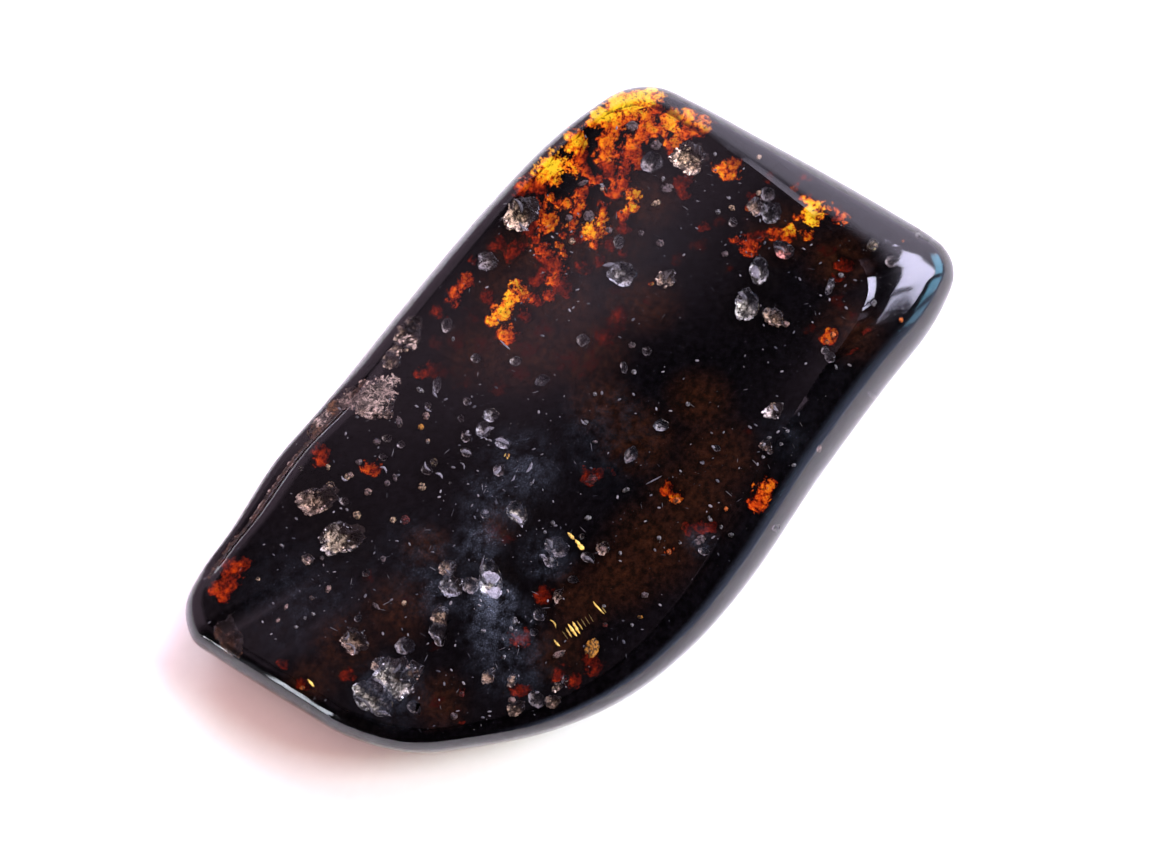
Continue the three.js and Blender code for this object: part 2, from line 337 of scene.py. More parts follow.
# Each row: the pixels of its middle, its two widths in pixels, its turn in degrees, and its depth in
# millimetres.
PITS = {
    CRUMBLY: [
        (689, 156, 34, 28, 10, 0.8), (521, 214, 30, 36, 60, 0.8), (343, 538, 44, 27, -8, 0.95),
        (318, 499, 40, 24, -22, 0.75), (356, 398, 20, 20, 0, 0.5), (372, 397, 38, 38, 40, 0.75),
        (384, 406, 22, 22, 20, 0.7), (414, 323, 17, 16, 0, 0.6), (407, 334, 24, 26, 0, 0.75),
        (391, 360, 18, 17, 0, 0.6), (399, 347, 20, 9, -30, 0.4), (448, 567, 18, 15, -10, 0.6),
        (450, 586, 22, 22, 0, 0.8), (355, 640, 25, 25, 0, 0.7), (394, 677, 42, 44, 50, 0.9),
        (378, 664, 14, 14, 0, 0.5), (553, 701, 17, 14, 0, 0.5), (516, 708, 18, 13, -20, 0.5),
        (488, 676, 17, 13, -50, 0.5), (558, 686, 15, 9, -35, 0.4), (558, 595, 16, 8, -65, 0.4),
        (228, 634, 24, 40, -14, 0.7), (774, 411, 14, 18, 50, 0.5), (488, 262, 22, 17, 0, 0.5),
        (666, 278, 20, 15, -20, 0.5), (440, 617, 16, 18, 30, 0.55), (774, 316, 22, 18, 30, 0.6),
        (412, 672, 22, 17, -40, 0.6), (308, 559, 12, 10, 0, 0.4), (512, 680, 12, 9, -60, 0.4),
        (603, 548, 13, 12, 0, 0.5), (766, 445, 12, 9, 20, 0.35), (756, 206, 16, 16, 0, 0.5),
    ],
    BLOOM: [
        (622, 273, 29, 23, 10, 0.6), (759, 271, 19, 27, 10, 0.55), (747, 305, 24, 30, 5, 0.6),
        (771, 212, 20, 22, 0, 0.6), (768, 194, 15, 15, 0, 0.5), (783, 249, 22, 17, 30, 0.5),
        (373, 697, 46, 30, 32, 0.8), (517, 512, 17, 26, -35, 0.7), (490, 579, 22, 38, -12, 0.7),
        (405, 646, 19, 17, 0, 0.5), (438, 631, 17, 19, -20, 0.6), (471, 585, 17, 17, 0, 0.5),
        (556, 547, 24, 20, 20, 0.5), (551, 561, 15, 12, 20, 0.4), (536, 699, 15, 19, -40, 0.5),
        (483, 429, 15, 17, 0, 0.5), (491, 415, 16, 14, 20, 0.5), (503, 443, 16, 11, 20, 0.4),
        (631, 454, 12, 19, 25, 0.45), (661, 425, 15, 13, 0, 0.5), (542, 380, 15, 11, -20, 0.4),
        (437, 384, 9, 16, 10, 0.4), (652, 162, 22, 18, 0, 0.5), (830, 287, 8, 18, 20, 0.4),
    ],
    RING: [
        (873, 244, 11, 11, 0, 0.9), (434, 462, 8, 8, 0, 0.8), (427, 470, 12, 9, 30, 0.5),
        (467, 401, 8, 8, 0, 0.4), (466, 436, 11, 12, 0, 0.5), (466, 452, 12, 9, 20, 0.5),
        (461, 418, 7, 7, 0, 0.35), (387, 438, 10, 8, 0, 0.5), (344, 501, 10, 8, 30, 0.4),
        (366, 573, 8, 8, 0, 0.4), (428, 405, 7, 7, 0, 0.4), (476, 358, 10, 10, 0, 0.5),
        (301, 468, 5, 5, 0, 0.6), (919, 235, 8, 6, 30, 0.5), (874, 396, 7, 6, 30, 0.5),
        (825, 350, 8, 8, 0, 0.4), (777, 528, 9, 5, -40, 0.4), (566, 678, 7, 7, 0, 0.35),
        (582, 536, 6, 7, 0, 0.35), (358, 618, 7, 9, 40, 0.35), (401, 444, 8, 8, 0, 0.35),
        (573, 579, 11, 8, 0, 0.35), (770, 451, 6, 6, 0, 0.35), (534, 632, 9, 8, 0, 0.35),
        (383, 457, 9, 7, 30, 0.35), (414, 707, 14, 11, 20, 0.45), (588, 557, 14, 11, 20, 0.4),
        (499, 470, 11, 13, 20, 0.4), (583, 340, 13, 12, 0, 0.45), (516, 361, 11, 10, 0, 0.4),
        (647, 351, 10, 9, 0, 0.35), (540, 614, 13, 13, 0, 0.4), (447, 325, 11, 14, 20, 0.45),
        (619, 242, 11, 14, 0, 0.45), (704, 551, 11, 8, 20, 0.35), (892, 261, 14, 11, 0, 0.4),
        (733, 222, 9, 9, 0, 0.4), (830, 357, 11, 11, 0, 0.35), (624, 367, 7, 13, -15, 0.3),
        (717, 448, 8, 7, 0, 0.35), (485, 514, 10, 9, 0, 0.35), (440, 640, 12, 12, 0, 0.4),
    ],
}
# The tints of what lies in the pits and in the amber, from the darkest wood to white mineral.
TINTS = {
    "red": (0.036, 0.0022, 0.0014),
    "bark": (0.07, 0.028, 0.018),
    "dusk": (0.062, 0.045, 0.053),
    "brown": (0.10, 0.04, 0.016),
    "clay": (0.12, 0.077, 0.076),
    "ash": (0.105, 0.10, 0.115),
    "orange": (0.30, 0.070, 0.010),
    "gold": (0.23, 0.098, 0.012),
    "cream": (0.216, 0.147, 0.108),
    "wood": (0.25, 0.17, 0.15),
    "slate": (0.30, 0.27, 0.335),
    "tan": (0.42, 0.30, 0.26),
    "fog": (0.42, 0.37, 0.45),
    "pink": (0.50, 0.36, 0.34),
    "rose": (0.80, 0.33, 0.34),
    "lilac": (0.50, 0.50, 0.66),
    "chalk": (0.68, 0.60, 0.66),
    "ivory": (0.95, 0.74, 0.66),
    "frost": (0.85, 0.85, 1.0),
}
# What the depth in a row is multiplied by: crust has filled up the crumbly pits.
PIT_DEEPENING = {CRUMBLY: 0.6, BLOOM: 0.8, RING: 1.2}
PIT_TINT = {CRUMBLY: "tan", BLOOM: "slate", RING: "fog"}
# How far a bowl departs from a plain ball, and in how many layers of ever finer lumps.
PIT_LUMPS = {CRUMBLY: (0.42, 5), BLOOM: (0.24, 3), RING: (0.20, 3)}
# How finely a bowl is divided, by the least radius in millimetres.
BOWL_LEVELS = [(0.9, 5), (0.45, 4), (0, 3)]
# The farthest that a lumpy bowl reaches from its middle, in radii.
BOWL_REACH = 1.6
# A point less deep than this below the polished skin is still on it, in millimetres.
SKIN_TOLERANCE = 0.004
# Faces of the stone that meet at more than this angle keep a sharp edge between them.
SHARP_TURN = math.radians(52)
# Pits whose stuff isn't the usual tint of their kind, by the pixel of their middle.
OWN_TINT = {
    "ivory": [(689, 156), (521, 214)],
    "chalk": [(343, 538), (774, 411)],
    "pink": [(318, 499), (355, 640)],
    "frost": [(394, 677), (759, 271), (747, 305), (373, 697), (490, 579), (517, 512)],
    "slate": [(488, 262)],
    "lilac": [(622, 273), (771, 212), (450, 586), (483, 429), (491, 415), (503, 443), (661, 425)],
    "rose": [(783, 249)],
    "wood": [(356, 398), (372, 397), (384, 406)],
    "bark": [(228, 634)],
}


def spot_on_skin(px, py, wide, high, turned):
    """An oval spot on the skin: its middle, the normal there, and its two half widths as vectors."""
    middle, normal = on_skin(px, py)
    cosine = math.cos(math.radians(turned))
    sine = math.sin(math.radians(turned))
    long_way = on_skin(px + wide / 2 * cosine, py + wide / 2 * sine)[0] - middle
    short_way = on_skin(px - high / 2 * sine, py + high / 2 * cosine)[0] - middle
    return middle, normal, long_way, short_way


class Pit:
    """One bowl: where it opens in the face, its two half widths as vectors, its depth and its stuff."""

    def __init__(self, kind, row, number):
        *spot, depth = row
        self.kind = kind
        self.number = number
        self.middle, self.normal, self.long, self.short = spot_on_skin(*spot)
        self.depth = PIT_DEEPENING[kind] * depth * MM
        self.radius = max(self.long.length, self.short.length)
        own = [tint for tint, middles in OWN_TINT.items() if tuple(spot[:2]) in middles]
        self.tint = TINTS[own[0] if own else PIT_TINT[kind]]

    def bowl(self, mesh):
        """Adds the lumpy ball that is cut out of the stone."""
        level = next(level for least, level in BOWL_LEVELS if self.radius > least * MM)
        made = bmesh.ops.create_icosphere(mesh, subdivisions=level, radius=1)
        roughness, octaves = PIT_LUMPS[self.kind]
        frame_of_pit = Matrix((self.long, self.short, self.normal * self.depth)).transposed()
        seed = Vector((3.1, 7.7, 5.3)) * self.number
        for v in made["verts"]:
            lumps = noise.fractal(v.co * 1.2 + seed, 0.7, 2.2, octaves)
            v.co = self.middle + frame_of_pit @ (v.co * max(0.3, 1 + roughness * lumps))


pits = [Pit(kind, row, n) for kind, rows in PITS.items() for n, row in enumerate(rows)]


def batches_apart(all_pits):
    """Sorts the pits into batches in which no two bowls touch, so that each batch is one clean cut."""
    batches = []
    for pit in all_pits:
        for batch in batches:
            gaps = [(pit.middle - p.middle).length / (pit.radius + p.radius) for p in batch]
            if min(gaps) > BOWL_REACH:
                batch.append(pit)
                break
        else:
            batches.append([pit])
    return batches


def evaluated_mesh(piece):
    """The piece's mesh with its modifiers worked out."""
    bpy.context.view_layer.update()
    worked_out = piece.evaluated_get(bpy.context.evaluated_depsgraph_get())
    return bpy.data.meshes.new_from_object(worked_out)


for batch in batches_apart(pits):
    cutters = bmesh.new()
    for pit in batch:
        pit.bowl(cutters)
    cutter_mesh = bpy.data.meshes.new("bowls")
    cutters.to_mesh(cutter_mesh)
    cutters.free()
    bowls = added("bowls", cutter_mesh)
    cut = stone.modifiers.new("cut", "BOOLEAN")
    cut.operation = "DIFFERENCE"
    cut.solver = "MANIFOLD"
    cut.object = bowls
    uncut = stone.data
    stone.data = evaluated_mesh(stone)
    stone.modifiers.clear()
    bpy.data.objects.remove(bowls)
    bpy.data.meshes.remove(uncut)

# How deep each point of the skin lies in a pit, and which pit's stuff is there.
points = np.array([v.co for v in stone.data.vertices])
below_face = np.array([smooth_skin.find_nearest(v.co)[3] for v in stone.data.vertices])
away = [np.linalg.norm(points - np.array(p.middle), axis=1) / p.radius for p in pits]
nearest_pit = np.argmin(away, axis=0)


def of_nearest_pit(values):
    """What each pit has, at the points that lie nearest to it."""
    return np.array(values)[nearest_pit]


in_pit = (below_face > SKIN_TOLERANCE * MM) & (np.min(away, axis=0) < BOWL_REACH)
depth_shares = np.clip(below_face / of_nearest_pit([p.depth for p in pits]), 0, 1)
# Which side of its pit a point lies on: the pit finishes paint the wall facing the key lamp lit and the
# other in shade.
LIT_WALL_WAY = np.array((-0.96, 0.20, -0.1))
pit_offsets = points - of_nearest_pit([p.middle for p in pits])
pit_lit_sides = pit_offsets @ LIT_WALL_WAY / of_nearest_pit([p.radius for p in pits])


def number_on_points(mesh, name, values):
    attribute = mesh.attributes.new(name, "FLOAT", "POINT")
    attribute.data.foreach_set("value", np.asarray(values, np.float32))


def tint_on_points(mesh, name, colours):
    attribute = mesh.attributes.new(name, "FLOAT_COLOR", "POINT")
    rgba = np.ones((len(colours), 4), np.float32)
    rgba[:, :3] = colours
    attribute.data.foreach_set("color", rgba.ravel())


number_on_points(stone.data, "pit_depth", np.where(in_pit, depth_shares, 0))
number_on_points(stone.data, "pit_side", np.clip(pit_lit_sides, -1, 1))
# The old crust on the ledge, in patches: pixels of the middle, radius in pixels, and what it is.
LEDGE_CRUST = [
    (392, 380, 7, "tan"), (384, 388, 12, "wood"), (372, 398, 17, "tan"), (358, 400, 13, "wood"),
    (346, 403, 11, "wood"), (335, 408, 9, "brown"), (325, 416, 6, "tan"), (317, 425, 4, "brown"),
    (309, 434, 3, "bark"), (414, 345, 5, "tan"), (404, 340, 5, "tan"),
]
# A patch of less than this radius runs on in steps to the next one, if that is nearer than this.
SMALL_PATCH = 9
NEAR_PATCH = 16
CRUST_STEPS = 4
# The foot of the step is tinted dark, in the bark tint: how far from it in millimetres, and how much.
GROOVE_NEAR = 0.05
GROOVE_FAR = 0.32
GROOVE_DARKENING = 0.9
foot_share = (skin_stations.round + LEDGE_GAP - LEDGE_STEP_WIDTH) / skin_stations.reach
foot = skin_stations.upper_ring(foot_share)[skin_stations.ledge > 0.25]
from_foot = np.array([np.linalg.norm(foot - point, axis=1).min() for point in points]) / MM
crust_share = GROOVE_DARKENING * (1 - smooth_step(from_foot, GROOVE_NEAR, GROOVE_FAR))
crust_tint = of_nearest_pit([p.tint for p in pits])
crust_tint[(crust_share > 0) & ~in_pit] = TINTS["bark"]
next_patches = LEDGE_CRUST[1:] + LEDGE_CRUST[-1:]
for (px, py, radius, tint), (to_px, to_py, _, _) in zip(LEDGE_CRUST, next_patches):
    runs_on = radius < SMALL_PATCH and abs(to_px - px) < NEAR_PATCH
    for step in range(CRUST_STEPS if runs_on else 1):
        way = step / CRUST_STEPS
        middle = on_skin(px + way * (to_px - px), py + way * (to_py - py))[0]
        near = bump_of(points, middle, radius * PIXEL, 0.3, 1.5)
        crust_tint[(near > crust_share) & ~in_pit] = TINTS[tint]
        crust_share = np.maximum(crust_share, near)
number_on_points(stone.data, "crust", crust_share)
tint_on_points(stone.data, "tint", crust_tint)
# A face is part of a pit where most of its corners lie below the skin. The polish is finish 0.
kinds = of_nearest_pit([p.kind for p in pits])
finish_of_face = []
for polygon in stone.data.polygons:
    corners = list(polygon.vertices)
    cut_away = sum(below_face[c] > SKIN_TOLERANCE * MM for c in corners) * 2 > len(corners)
    deepest = corners[int(below_face[corners].argmax())]
    finish_of_face.append(1 + int(kinds[deepest]) if cut_away and in_pit[deepest] else 0)
stone.data.set_sharp_from_angle(angle=SHARP_TURN)


class Wire:
    """A socket in a node tree. Sums and products of wires are Math nodes, and add() adds any node."""

    def __init__(self, tree, socket=None):
        self.tree = tree
        self.socket = socket

    def add(self, kind, sockets=None, out=0, **settings):
        """A node of a kind, with its settings, and the values or wires of its sockets."""
        node = self.tree.nodes.new(kind)
        for name, value in settings.items():
            if name == "stops":
                while len(node.color_ramp.elements) < len(value):
                    node.color_ramp.elements.new(1)
                for element, (place, colour) in zip(node.color_ramp.elements, value):
                    element.position = place
                    element.color = (*colour, 1)
            else:
                setattr(node, name, value)
        usable = [s for s in node.inputs if s.enabled]
        for name, value in (sockets or {}).items():
            by_number = isinstance(name, int)
            socket = usable[name] if by_number else next(s for s in usable if s.name == name)
            if isinstance(value, Wire):
                self.tree.links.new(value.socket, socket)
            else:
                socket.default_value = value
        outputs = [s for s in node.outputs if s.enabled]
        if not outputs:
            return node
        return Wire(self.tree, outputs[out] if isinstance(out, int) else node.outputs[out])

    def beside(self, out):
        """Another output of the node that this wire comes from."""
        return Wire(self.tree, self.socket.node.outputs[out])

    def math(self, operation, *values):
        return self.add("ShaderNodeMath", dict(enumerate(values)), operation=operation)

    def vector(self, operation, *values):
        """Maths on colours and places, which a Math node would turn into one number."""
        return self.add("ShaderNodeVectorMath", dict(enumerate(values)), operation=operation)

    def __add__(self, other):
        return self.math("ADD", self, other)

    __radd__ = __add__

    def __sub__(self, other):
        return self.math("SUBTRACT", self, other)

    def __rsub__(self, other):
        return self.math("SUBTRACT", other, self)

    def __mul__(self, other):
        return self.math("MULTIPLY", self, other)

    __rmul__ = __mul__

    def between(self, low, high):
        """0 below low, 1 above high, and smooth in between."""
        return self.add("ShaderNodeMapRange", {"Value": self, "From Min": low, "From Max": high},
                        interpolation_type="SMOOTHSTEP")

    def mixed(self, low, high):
        """The colour low where this wire is 0, and high where it is 1."""
        return self.add("ShaderNodeMix", {"Factor": self, "A": low, "B": high}, data_type="RGBA")

    def noise(self, place, size, detail=3.0, roughness=0.55, distortion=0.0):
        """Cloudy noise from 0 to 1 whose lumps are about a size across, in metres."""
        return self.add("ShaderNodeTexNoise", {
            "Vector": place, "Scale": 1 / size, "Detail": detail, "Roughness": roughness,
            "Distortion": distortion})

    def written(self, name, out="Fac"):
        """What is written on the mesh's points under a name."""
        return self.add("ShaderNodeAttribute", out=out, attribute_name=name)


def new_finish(name):
    material = bpy.data.materials.new(name)
    material.use_nodes = True
    material.node_tree.nodes.clear()
    wire = Wire(material.node_tree)
    return material, wire, wire.add("ShaderNodeTexCoord", out="Object")


def rgb(*values):
    return (*values, 1)


# What the resin lets through, and how strongly it takes the rest out of the light.
RESIN_COLOUR = rgb(0.952, 0.738, 0.0)
RESIN_DENSITY = 420.0
# Where a milky bloom lies in the face, partly real bloom and partly a painted reflection of the room's
# sheen: pixels of the middle, radius in pixels, and strength. It fades out at this many radii.
BLOOM_REACH = 1.4
BLOOM_AND_SHEEN_ZONES = [
    (492, 602, 24, 1.3), (500, 630, 34, 0.6), (520, 466, 40, 0.35), (495, 500, 34, 0.35),
    (478, 545, 26, 0.5), (512, 660, 40, 0.25), (700, 540, 16, 0.3), (785, 432, 26, 0.10),
    (600, 430, 60, 0.10), (440, 590, 30, 0.3), (545, 555, 26, 0.3), (390, 690, 34, 0.3),
    (420, 560, 50, 0.15), (300, 600, 60, 0.12),
]


def hair_scratches(wire, place, heading, slimness, size, rarity):
    """Fine scratches of hand polishing that all run one way."""
    along = wire.add("ShaderNodeMapping", {
        "Vector": place, "Rotation": (0, 0, heading), "Scale": (1, slimness, 1)})
    return wire.noise(along, size, detail=2, roughness=0.7).between(rarity, rarity + 0.14)


def milky_haze_and_sheen(wire, place, scratches):
    """How much of the polish is dull: milky zones of tiny bubbles, partly a painted sheen, and worn
    scratches.
    """
    milk_and_sheen = None
    for px, py, radius, strength in BLOOM_AND_SHEEN_ZONES:
        distance = wire.vector("DISTANCE", place, on_skin(px, py)[0])
        zone = (1 - distance.between(0, BLOOM_REACH * radius * PIXEL)) * strength
        milk_and_sheen = zone if milk_and_sheen is None else wire.math("MAXIMUM", milk_and_sheen, zone)
    fog = wire.noise(place, 1.1 * MM, detail=6, roughness=0.7).between(0.36, 0.70)
    frost = wire.noise(place, 0.09 * MM, detail=2, roughness=0.7).between(0.50, 0.70)
    worn = wire.noise(place, 3.5 * MM, detail=3).between(0.48, 0.66)
    return milk_and_sheen * fog * (frost * 0.34 + 0.055) + worn * scratches * 0.010


def ledge_crust(wire, place):
    """The old crust on the ledge: where it covers the polish, and its fibrous surface."""
    share = wire.written("crust")
    lumps = wire.noise(place, 0.8 * MM, detail=5, roughness=0.7)
    fibres = wire.noise(place, 0.42 * MM, detail=4, roughness=0.75, distortion=1.5)
    ragged = share + (lumps - 0.5) * 2.4 + (fibres - 0.5) * 1.6
    covers = ragged.between(0.40, 0.56) * share.between(0.02, 0.15)
    shade = fibres.between(0.42, 0.62) * (lumps.between(0.38, 0.56) * 0.85 + 0.15)
    colour = shade.mixed(rgb(0.008, 0.004, 0.003), wire.written("tint", "Color"))
    relief = wire.add("ShaderNodeBump", {
        "Strength": 1.0, "Distance": 0.15 * MM, "Height": fibres + lumps})
    return covers, wire.add("ShaderNodeBsdfPrincipled", {
        "Base Color": colour, "Roughness": 0.8, "Normal": relief})


def amber_finish():
    """Clear resin that takes blue out of the light, under a polish with some haze, partly a painted
    sheen, and old crust.
    """
    material, wire, place = new_finish("amber")
    scratches = (hair_scratches(wire, place, 0.9, 0.06, 0.12 * MM, 0.66)
                 + hair_scratches(wire, place, 2.2, 0.05, 0.16 * MM, 0.68))
    ripples = wire.noise(place, 5 * MM, detail=1)
    grain = wire.noise(place, 0.25 * MM, detail=2)
    relief = wire.add("ShaderNodeBump", {
        "Strength": 0.35, "Distance": 0.25 * MM,
        "Height": ripples * 0.15 + grain * 0.012 + scratches * -0.02})
    body = wire.add("ShaderNodeBsdfPrincipled", {
        "Base Color": rgb(1.0, 0.97, 0.94), "Roughness": scratches * 0.10 + 0.10, "IOR": AMBER_IOR,
        "Transmission Weight": 1.0, "Normal": relief})
    # A bluish-white diffuse layer: milky bloom, and in part a painted reflection of the room.
    milk_and_sheen = wire.add("ShaderNodeBsdfDiffuse", {"Color": rgb(0.42, 0.49, 0.64)})
    haze = milky_haze_and_sheen(wire, place, scratches)
    polished = wire.add("ShaderNodeMixShader", {0: haze, 1: body, 2: milk_and_sheen})
    covers, crust = ledge_crust(wire, place)
    surface = wire.add("ShaderNodeMixShader", {0: covers, 1: polished, 2: crust})
    # The light of the lamps goes straight through the skin to the dust under it.
    to_lamps = wire.add("ShaderNodeLightPath", out="Is Shadow Ray")
    through = wire.add("ShaderNodeBsdfTransparent", {"Color": rgb(0.9, 0.9, 0.9)})
    lit = wire.add("ShaderNodeMixShader", {0: to_lamps, 1: surface, 2: through})
    resin = wire.add("ShaderNodeVolumeAbsorption", {
        "Color": RESIN_COLOUR, "Density": RESIN_DENSITY})
    wire.add("ShaderNodeOutputMaterial", {"Surface": lit, "Volume": resin})
    return material


def pit_finish(name, dark, size, gloss, patchy, bottom_shade):
    """Crust in a pit in its own tint with dark gaps, and painted light: pale towards the wall facing
    the key lamp, dark in shade on the other, with a painted highlight and, where asked, a dark bottom
    of painted shade.
    """
    material, wire, place = new_finish(name)
    depth = wire.written("pit_depth")
    side = wire.written("pit_side")
    clumps = wire.noise(place, size, detail=4, roughness=0.65)
    grit = wire.noise(place, size * 0.40, detail=3, roughness=0.7)
    creases = wire.noise(place, size * 0.7, detail=3, roughness=0.6)
    folds = 1 - wire.math("ABSOLUTE", creases - 0.5).between(0.01, 0.06)
    patches = (clumps - 0.5) * patchy
    # Painted light and shade: the crust shows pale towards the wall facing the key lamp and dark
    # towards the other.
    crust = (side + patches).between(-0.35, 0.50)
    inside = (depth + side * 0.4 + patches * 0.8 + bottom_shade).between(0.20, 0.65)
    # A painted highlight near the rim of the lit wall.
    painted_highlight_crest = side.between(0.35, 0.85) * (1 - depth.between(0.4, 0.9))
    gaps = clumps.between(0.42, 0.55) * 0.92 + 0.08
    lit = grit.between(0.44, 0.58) * 0.85 + folds * 0.35 + painted_highlight_crest * 0.25
    # Painted shade darkens the bottom of the deep ring pits.
    shade = crust * inside * gaps * lit * (1 - depth.between(0.55, 0.95) * bottom_shade)
    colour = wire.math("MINIMUM", shade, 1.0).mixed(rgb(*dark), wire.written("tint", "Color"))
    relief = wire.add("ShaderNodeBump", {
        "Strength": 1.0, "Distance": 0.12 * MM, "Height": clumps + grit * 0.7})
    body = wire.add("ShaderNodeBsdfPrincipled", {
        "Base Color": colour, "Roughness": 1 - clumps.between(0.3, 0.9) * gloss,
        "Specular IOR Level": 0.3, "Normal": relief})
    wire.add("ShaderNodeOutputMaterial", {"Surface": body})
    return material


stone.data.materials.clear()
for finish in (
        amber_finish(),
        pit_finish("crumbly_crust", dark=(0.006, 0.003, 0.003), size=0.7 * MM,
                   gloss=0.25, patchy=2.4, bottom_shade=0.0),
        pit_finish("grey_bloom", dark=(0.002, 0.002, 0.005), size=0.9 * MM,
                   gloss=0.35, patchy=2.0, bottom_shade=0.0),
        pit_finish("pale_ring", dark=(0.003, 0.002, 0.004), size=0.6 * MM,
                   gloss=0.30, patchy=1.6, bottom_shade=1.0)):
    stone.data.materials.append(finish)
stone.data.polygons.foreach_set("material_index", finish_of_face)
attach(stone, "root")
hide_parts("amber_stone")

# The dust cloud
# Wood dust and bark crumbs that ran into the resin while it was soft fill nearly all of it, just under
# the skin. Where the dust is thin the resin shows clear, and the dust under it is painted with the
# light that would come through: yellow where it is shallow, then orange and red as it gets deeper.
YELLOW = 1.0
GOLD = 0.78
ORANGE = 0.62
EMBER = 0.46
RUST = 0.36
RED = 0.26
DIM = 0.10
# The clear windows, by what colour they show. Each: the pixels of its middle, and its radius.
WINDOWS = {
    YELLOW: [
        (597, 116, 8), (604, 112, 10), (613, 107, 11), (624, 102, 12), (634, 99, 12), (644, 98, 11),
        (655, 94, 8), (632, 108, 9), (662, 93, 5), (552, 163, 13), (548, 170, 9), (812, 210, 9),
        (813, 222, 5), (791, 230, 5),
    ],
    GOLD: [
        (672, 122, 11), (668, 116, 6), (692, 114, 8), (702, 123, 9), (577, 136, 8), (576, 147, 8),
        (546, 176, 9), (573, 166, 9), (554, 183, 6), (633, 195, 7), (632, 207, 6), (602, 219, 6),
        (594, 232, 9), (806, 200, 5), (491, 322, 6), (502, 312, 8), (510, 302, 8), (516, 291, 7),
        (825, 205, 5), (812, 201, 6),
    ],
    ORANGE: [
        (632, 118, 10), (618, 126, 9), (607, 126, 6), (653, 131, 9), (643, 125, 7), (673, 144, 8),
        (685, 128, 8), (604, 141, 8), (613, 139, 8), (605, 153, 9), (633, 141, 8), (525, 184, 8),
        (566, 203, 7), (558, 205, 6), (550, 202, 5), (581, 204, 7), (546, 220, 8), (546, 226, 7),
        (571, 225, 7), (594, 244, 7), (559, 246, 5), (565, 255, 4), (553, 279, 7), (615, 178, 6),
        (524, 299, 6), (508, 338, 9), (836, 212, 6), (800, 218, 5), (805, 238, 6), (844, 221, 6),
        (750, 210, 4), (794, 194, 4), (729, 169, 11), (724, 178, 6), (676, 501, 5), (768, 494, 8),
        (773, 491, 6), (832, 336, 5), (652, 284, 3), (669, 552, 3), (592, 125, 5), (620, 147, 6),
        (662, 136, 6), (663, 124, 6), (597, 160, 5), (648, 117, 6),
    ],
    EMBER: [
        (374, 469, 8), (368, 471, 6), (657, 111, 8), (641, 136, 8), (629, 156, 13), (669, 153, 6),
        (595, 180, 7), (622, 184, 8), (615, 195, 8), (625, 172, 8), (624, 219, 6), (603, 208, 6),
        (584, 193, 7), (544, 252, 9), (555, 271, 9), (454, 304, 5), (454, 296, 6), (465, 282, 7),
        (534, 299, 6), (739, 241, 7), (750, 249, 9), (774, 236, 7), (787, 241, 7), (827, 342, 5),
        (831, 341, 6), (688, 134, 7), (700, 133, 6), (666, 492, 7), (758, 506, 8), (536, 212, 7),
        (563, 236, 6), (578, 213, 6), (610, 168, 7), (640, 166, 7), (587, 172, 6), (538, 240, 6),
        (548, 296, 6),
    ],
    RUST: [
        (322, 456, 8), (316, 452, 5), (323, 462, 7), (216, 590, 7), (243, 566, 7), (235, 575, 9),
        (228, 586, 9), (224, 598, 7), (232, 566, 7),
    ],
    RED: [
        (684, 180, 8), (685, 196, 6), (681, 188, 6), (582, 160, 7), (520, 193, 8), (539, 190, 8),
        (608, 172, 8), (624, 229, 7), (621, 254, 6), (611, 247, 7), (546, 268, 10), (561, 287, 9),
        (567, 295, 6), (538, 304, 4), (756, 237, 6), (831, 222, 4), (853, 355, 5), (842, 267, 8),
        (704, 228, 6), (591, 479, 8), (598, 476, 6), (612, 474, 4), (405, 520, 5), (591, 669, 9),
        (574, 682, 8), (545, 597, 9), (441, 314, 7), (431, 372, 8), (420, 376, 6), (520, 640, 10),
        (560, 676, 8), (520, 692, 9), (590, 655, 8), (700, 530, 7), (688, 532, 5), (712, 528, 6),
        (351, 678, 7), (284, 668, 6), (302, 688, 5), (462, 693, 4), (462, 721, 4), (473, 264, 6),
        (499, 245, 9), (768, 181, 6), (805, 178, 6), (753, 200, 7), (838, 280, 6), (860, 330, 7),
        (530, 230, 8), (516, 250, 9), (536, 282, 7), (583, 268, 7), (600, 262, 6), (578, 240, 7),
        (524, 318, 7), (509, 258, 8), (487, 300, 7), (617, 317, 9), (604, 338, 9),
    ],
    DIM: [
        (592, 360, 13), (582, 374, 10), (748, 433, 6), (729, 268, 8), (678, 260, 9), (481, 281, 8),
        (526, 348, 14), (519, 372, 13), (483, 347, 13), (462, 380, 14), (616, 318, 14),
        (605, 337, 17), (570, 359, 18), (440, 372, 12), (455, 342, 12), (498, 388, 12),
        (470, 316, 12), (436, 343, 10), (545, 330, 13), (700, 245, 10), (720, 222, 9), (825, 250, 11),
        (850, 245, 9), (838, 306, 11), (855, 318, 9), (810, 330, 9), (432, 646, 8), (404, 603, 7),
        (369, 577, 8), (440, 700, 11), (455, 712, 9), (497, 531, 9), (508, 540, 8), (620, 290, 10),
        (650, 300, 9),
    ],
}
# Broad places where the dust is brown, and not black: the pixels of the middle, and the radius.
BROWN_ZONES = [
    (655, 545, 48), (690, 500, 46), (620, 575, 40), (720, 455, 42), (640, 440, 40), (600, 400, 34),
    (585, 350, 44), (530, 350, 46), (480, 350, 40), (395, 610, 36), (345, 645, 34), (310, 680, 24),
    (500, 525, 20), (580, 600, 34), (640, 300, 40), (560, 300, 40), (500, 290, 34), (700, 400, 34),
    (560, 650, 30), (440, 700, 28), (520, 250, 34), (600, 240, 50), (640, 200, 40), (780, 230, 36),
    (840, 260, 36), (850, 330, 34), (425, 545, 22),
]
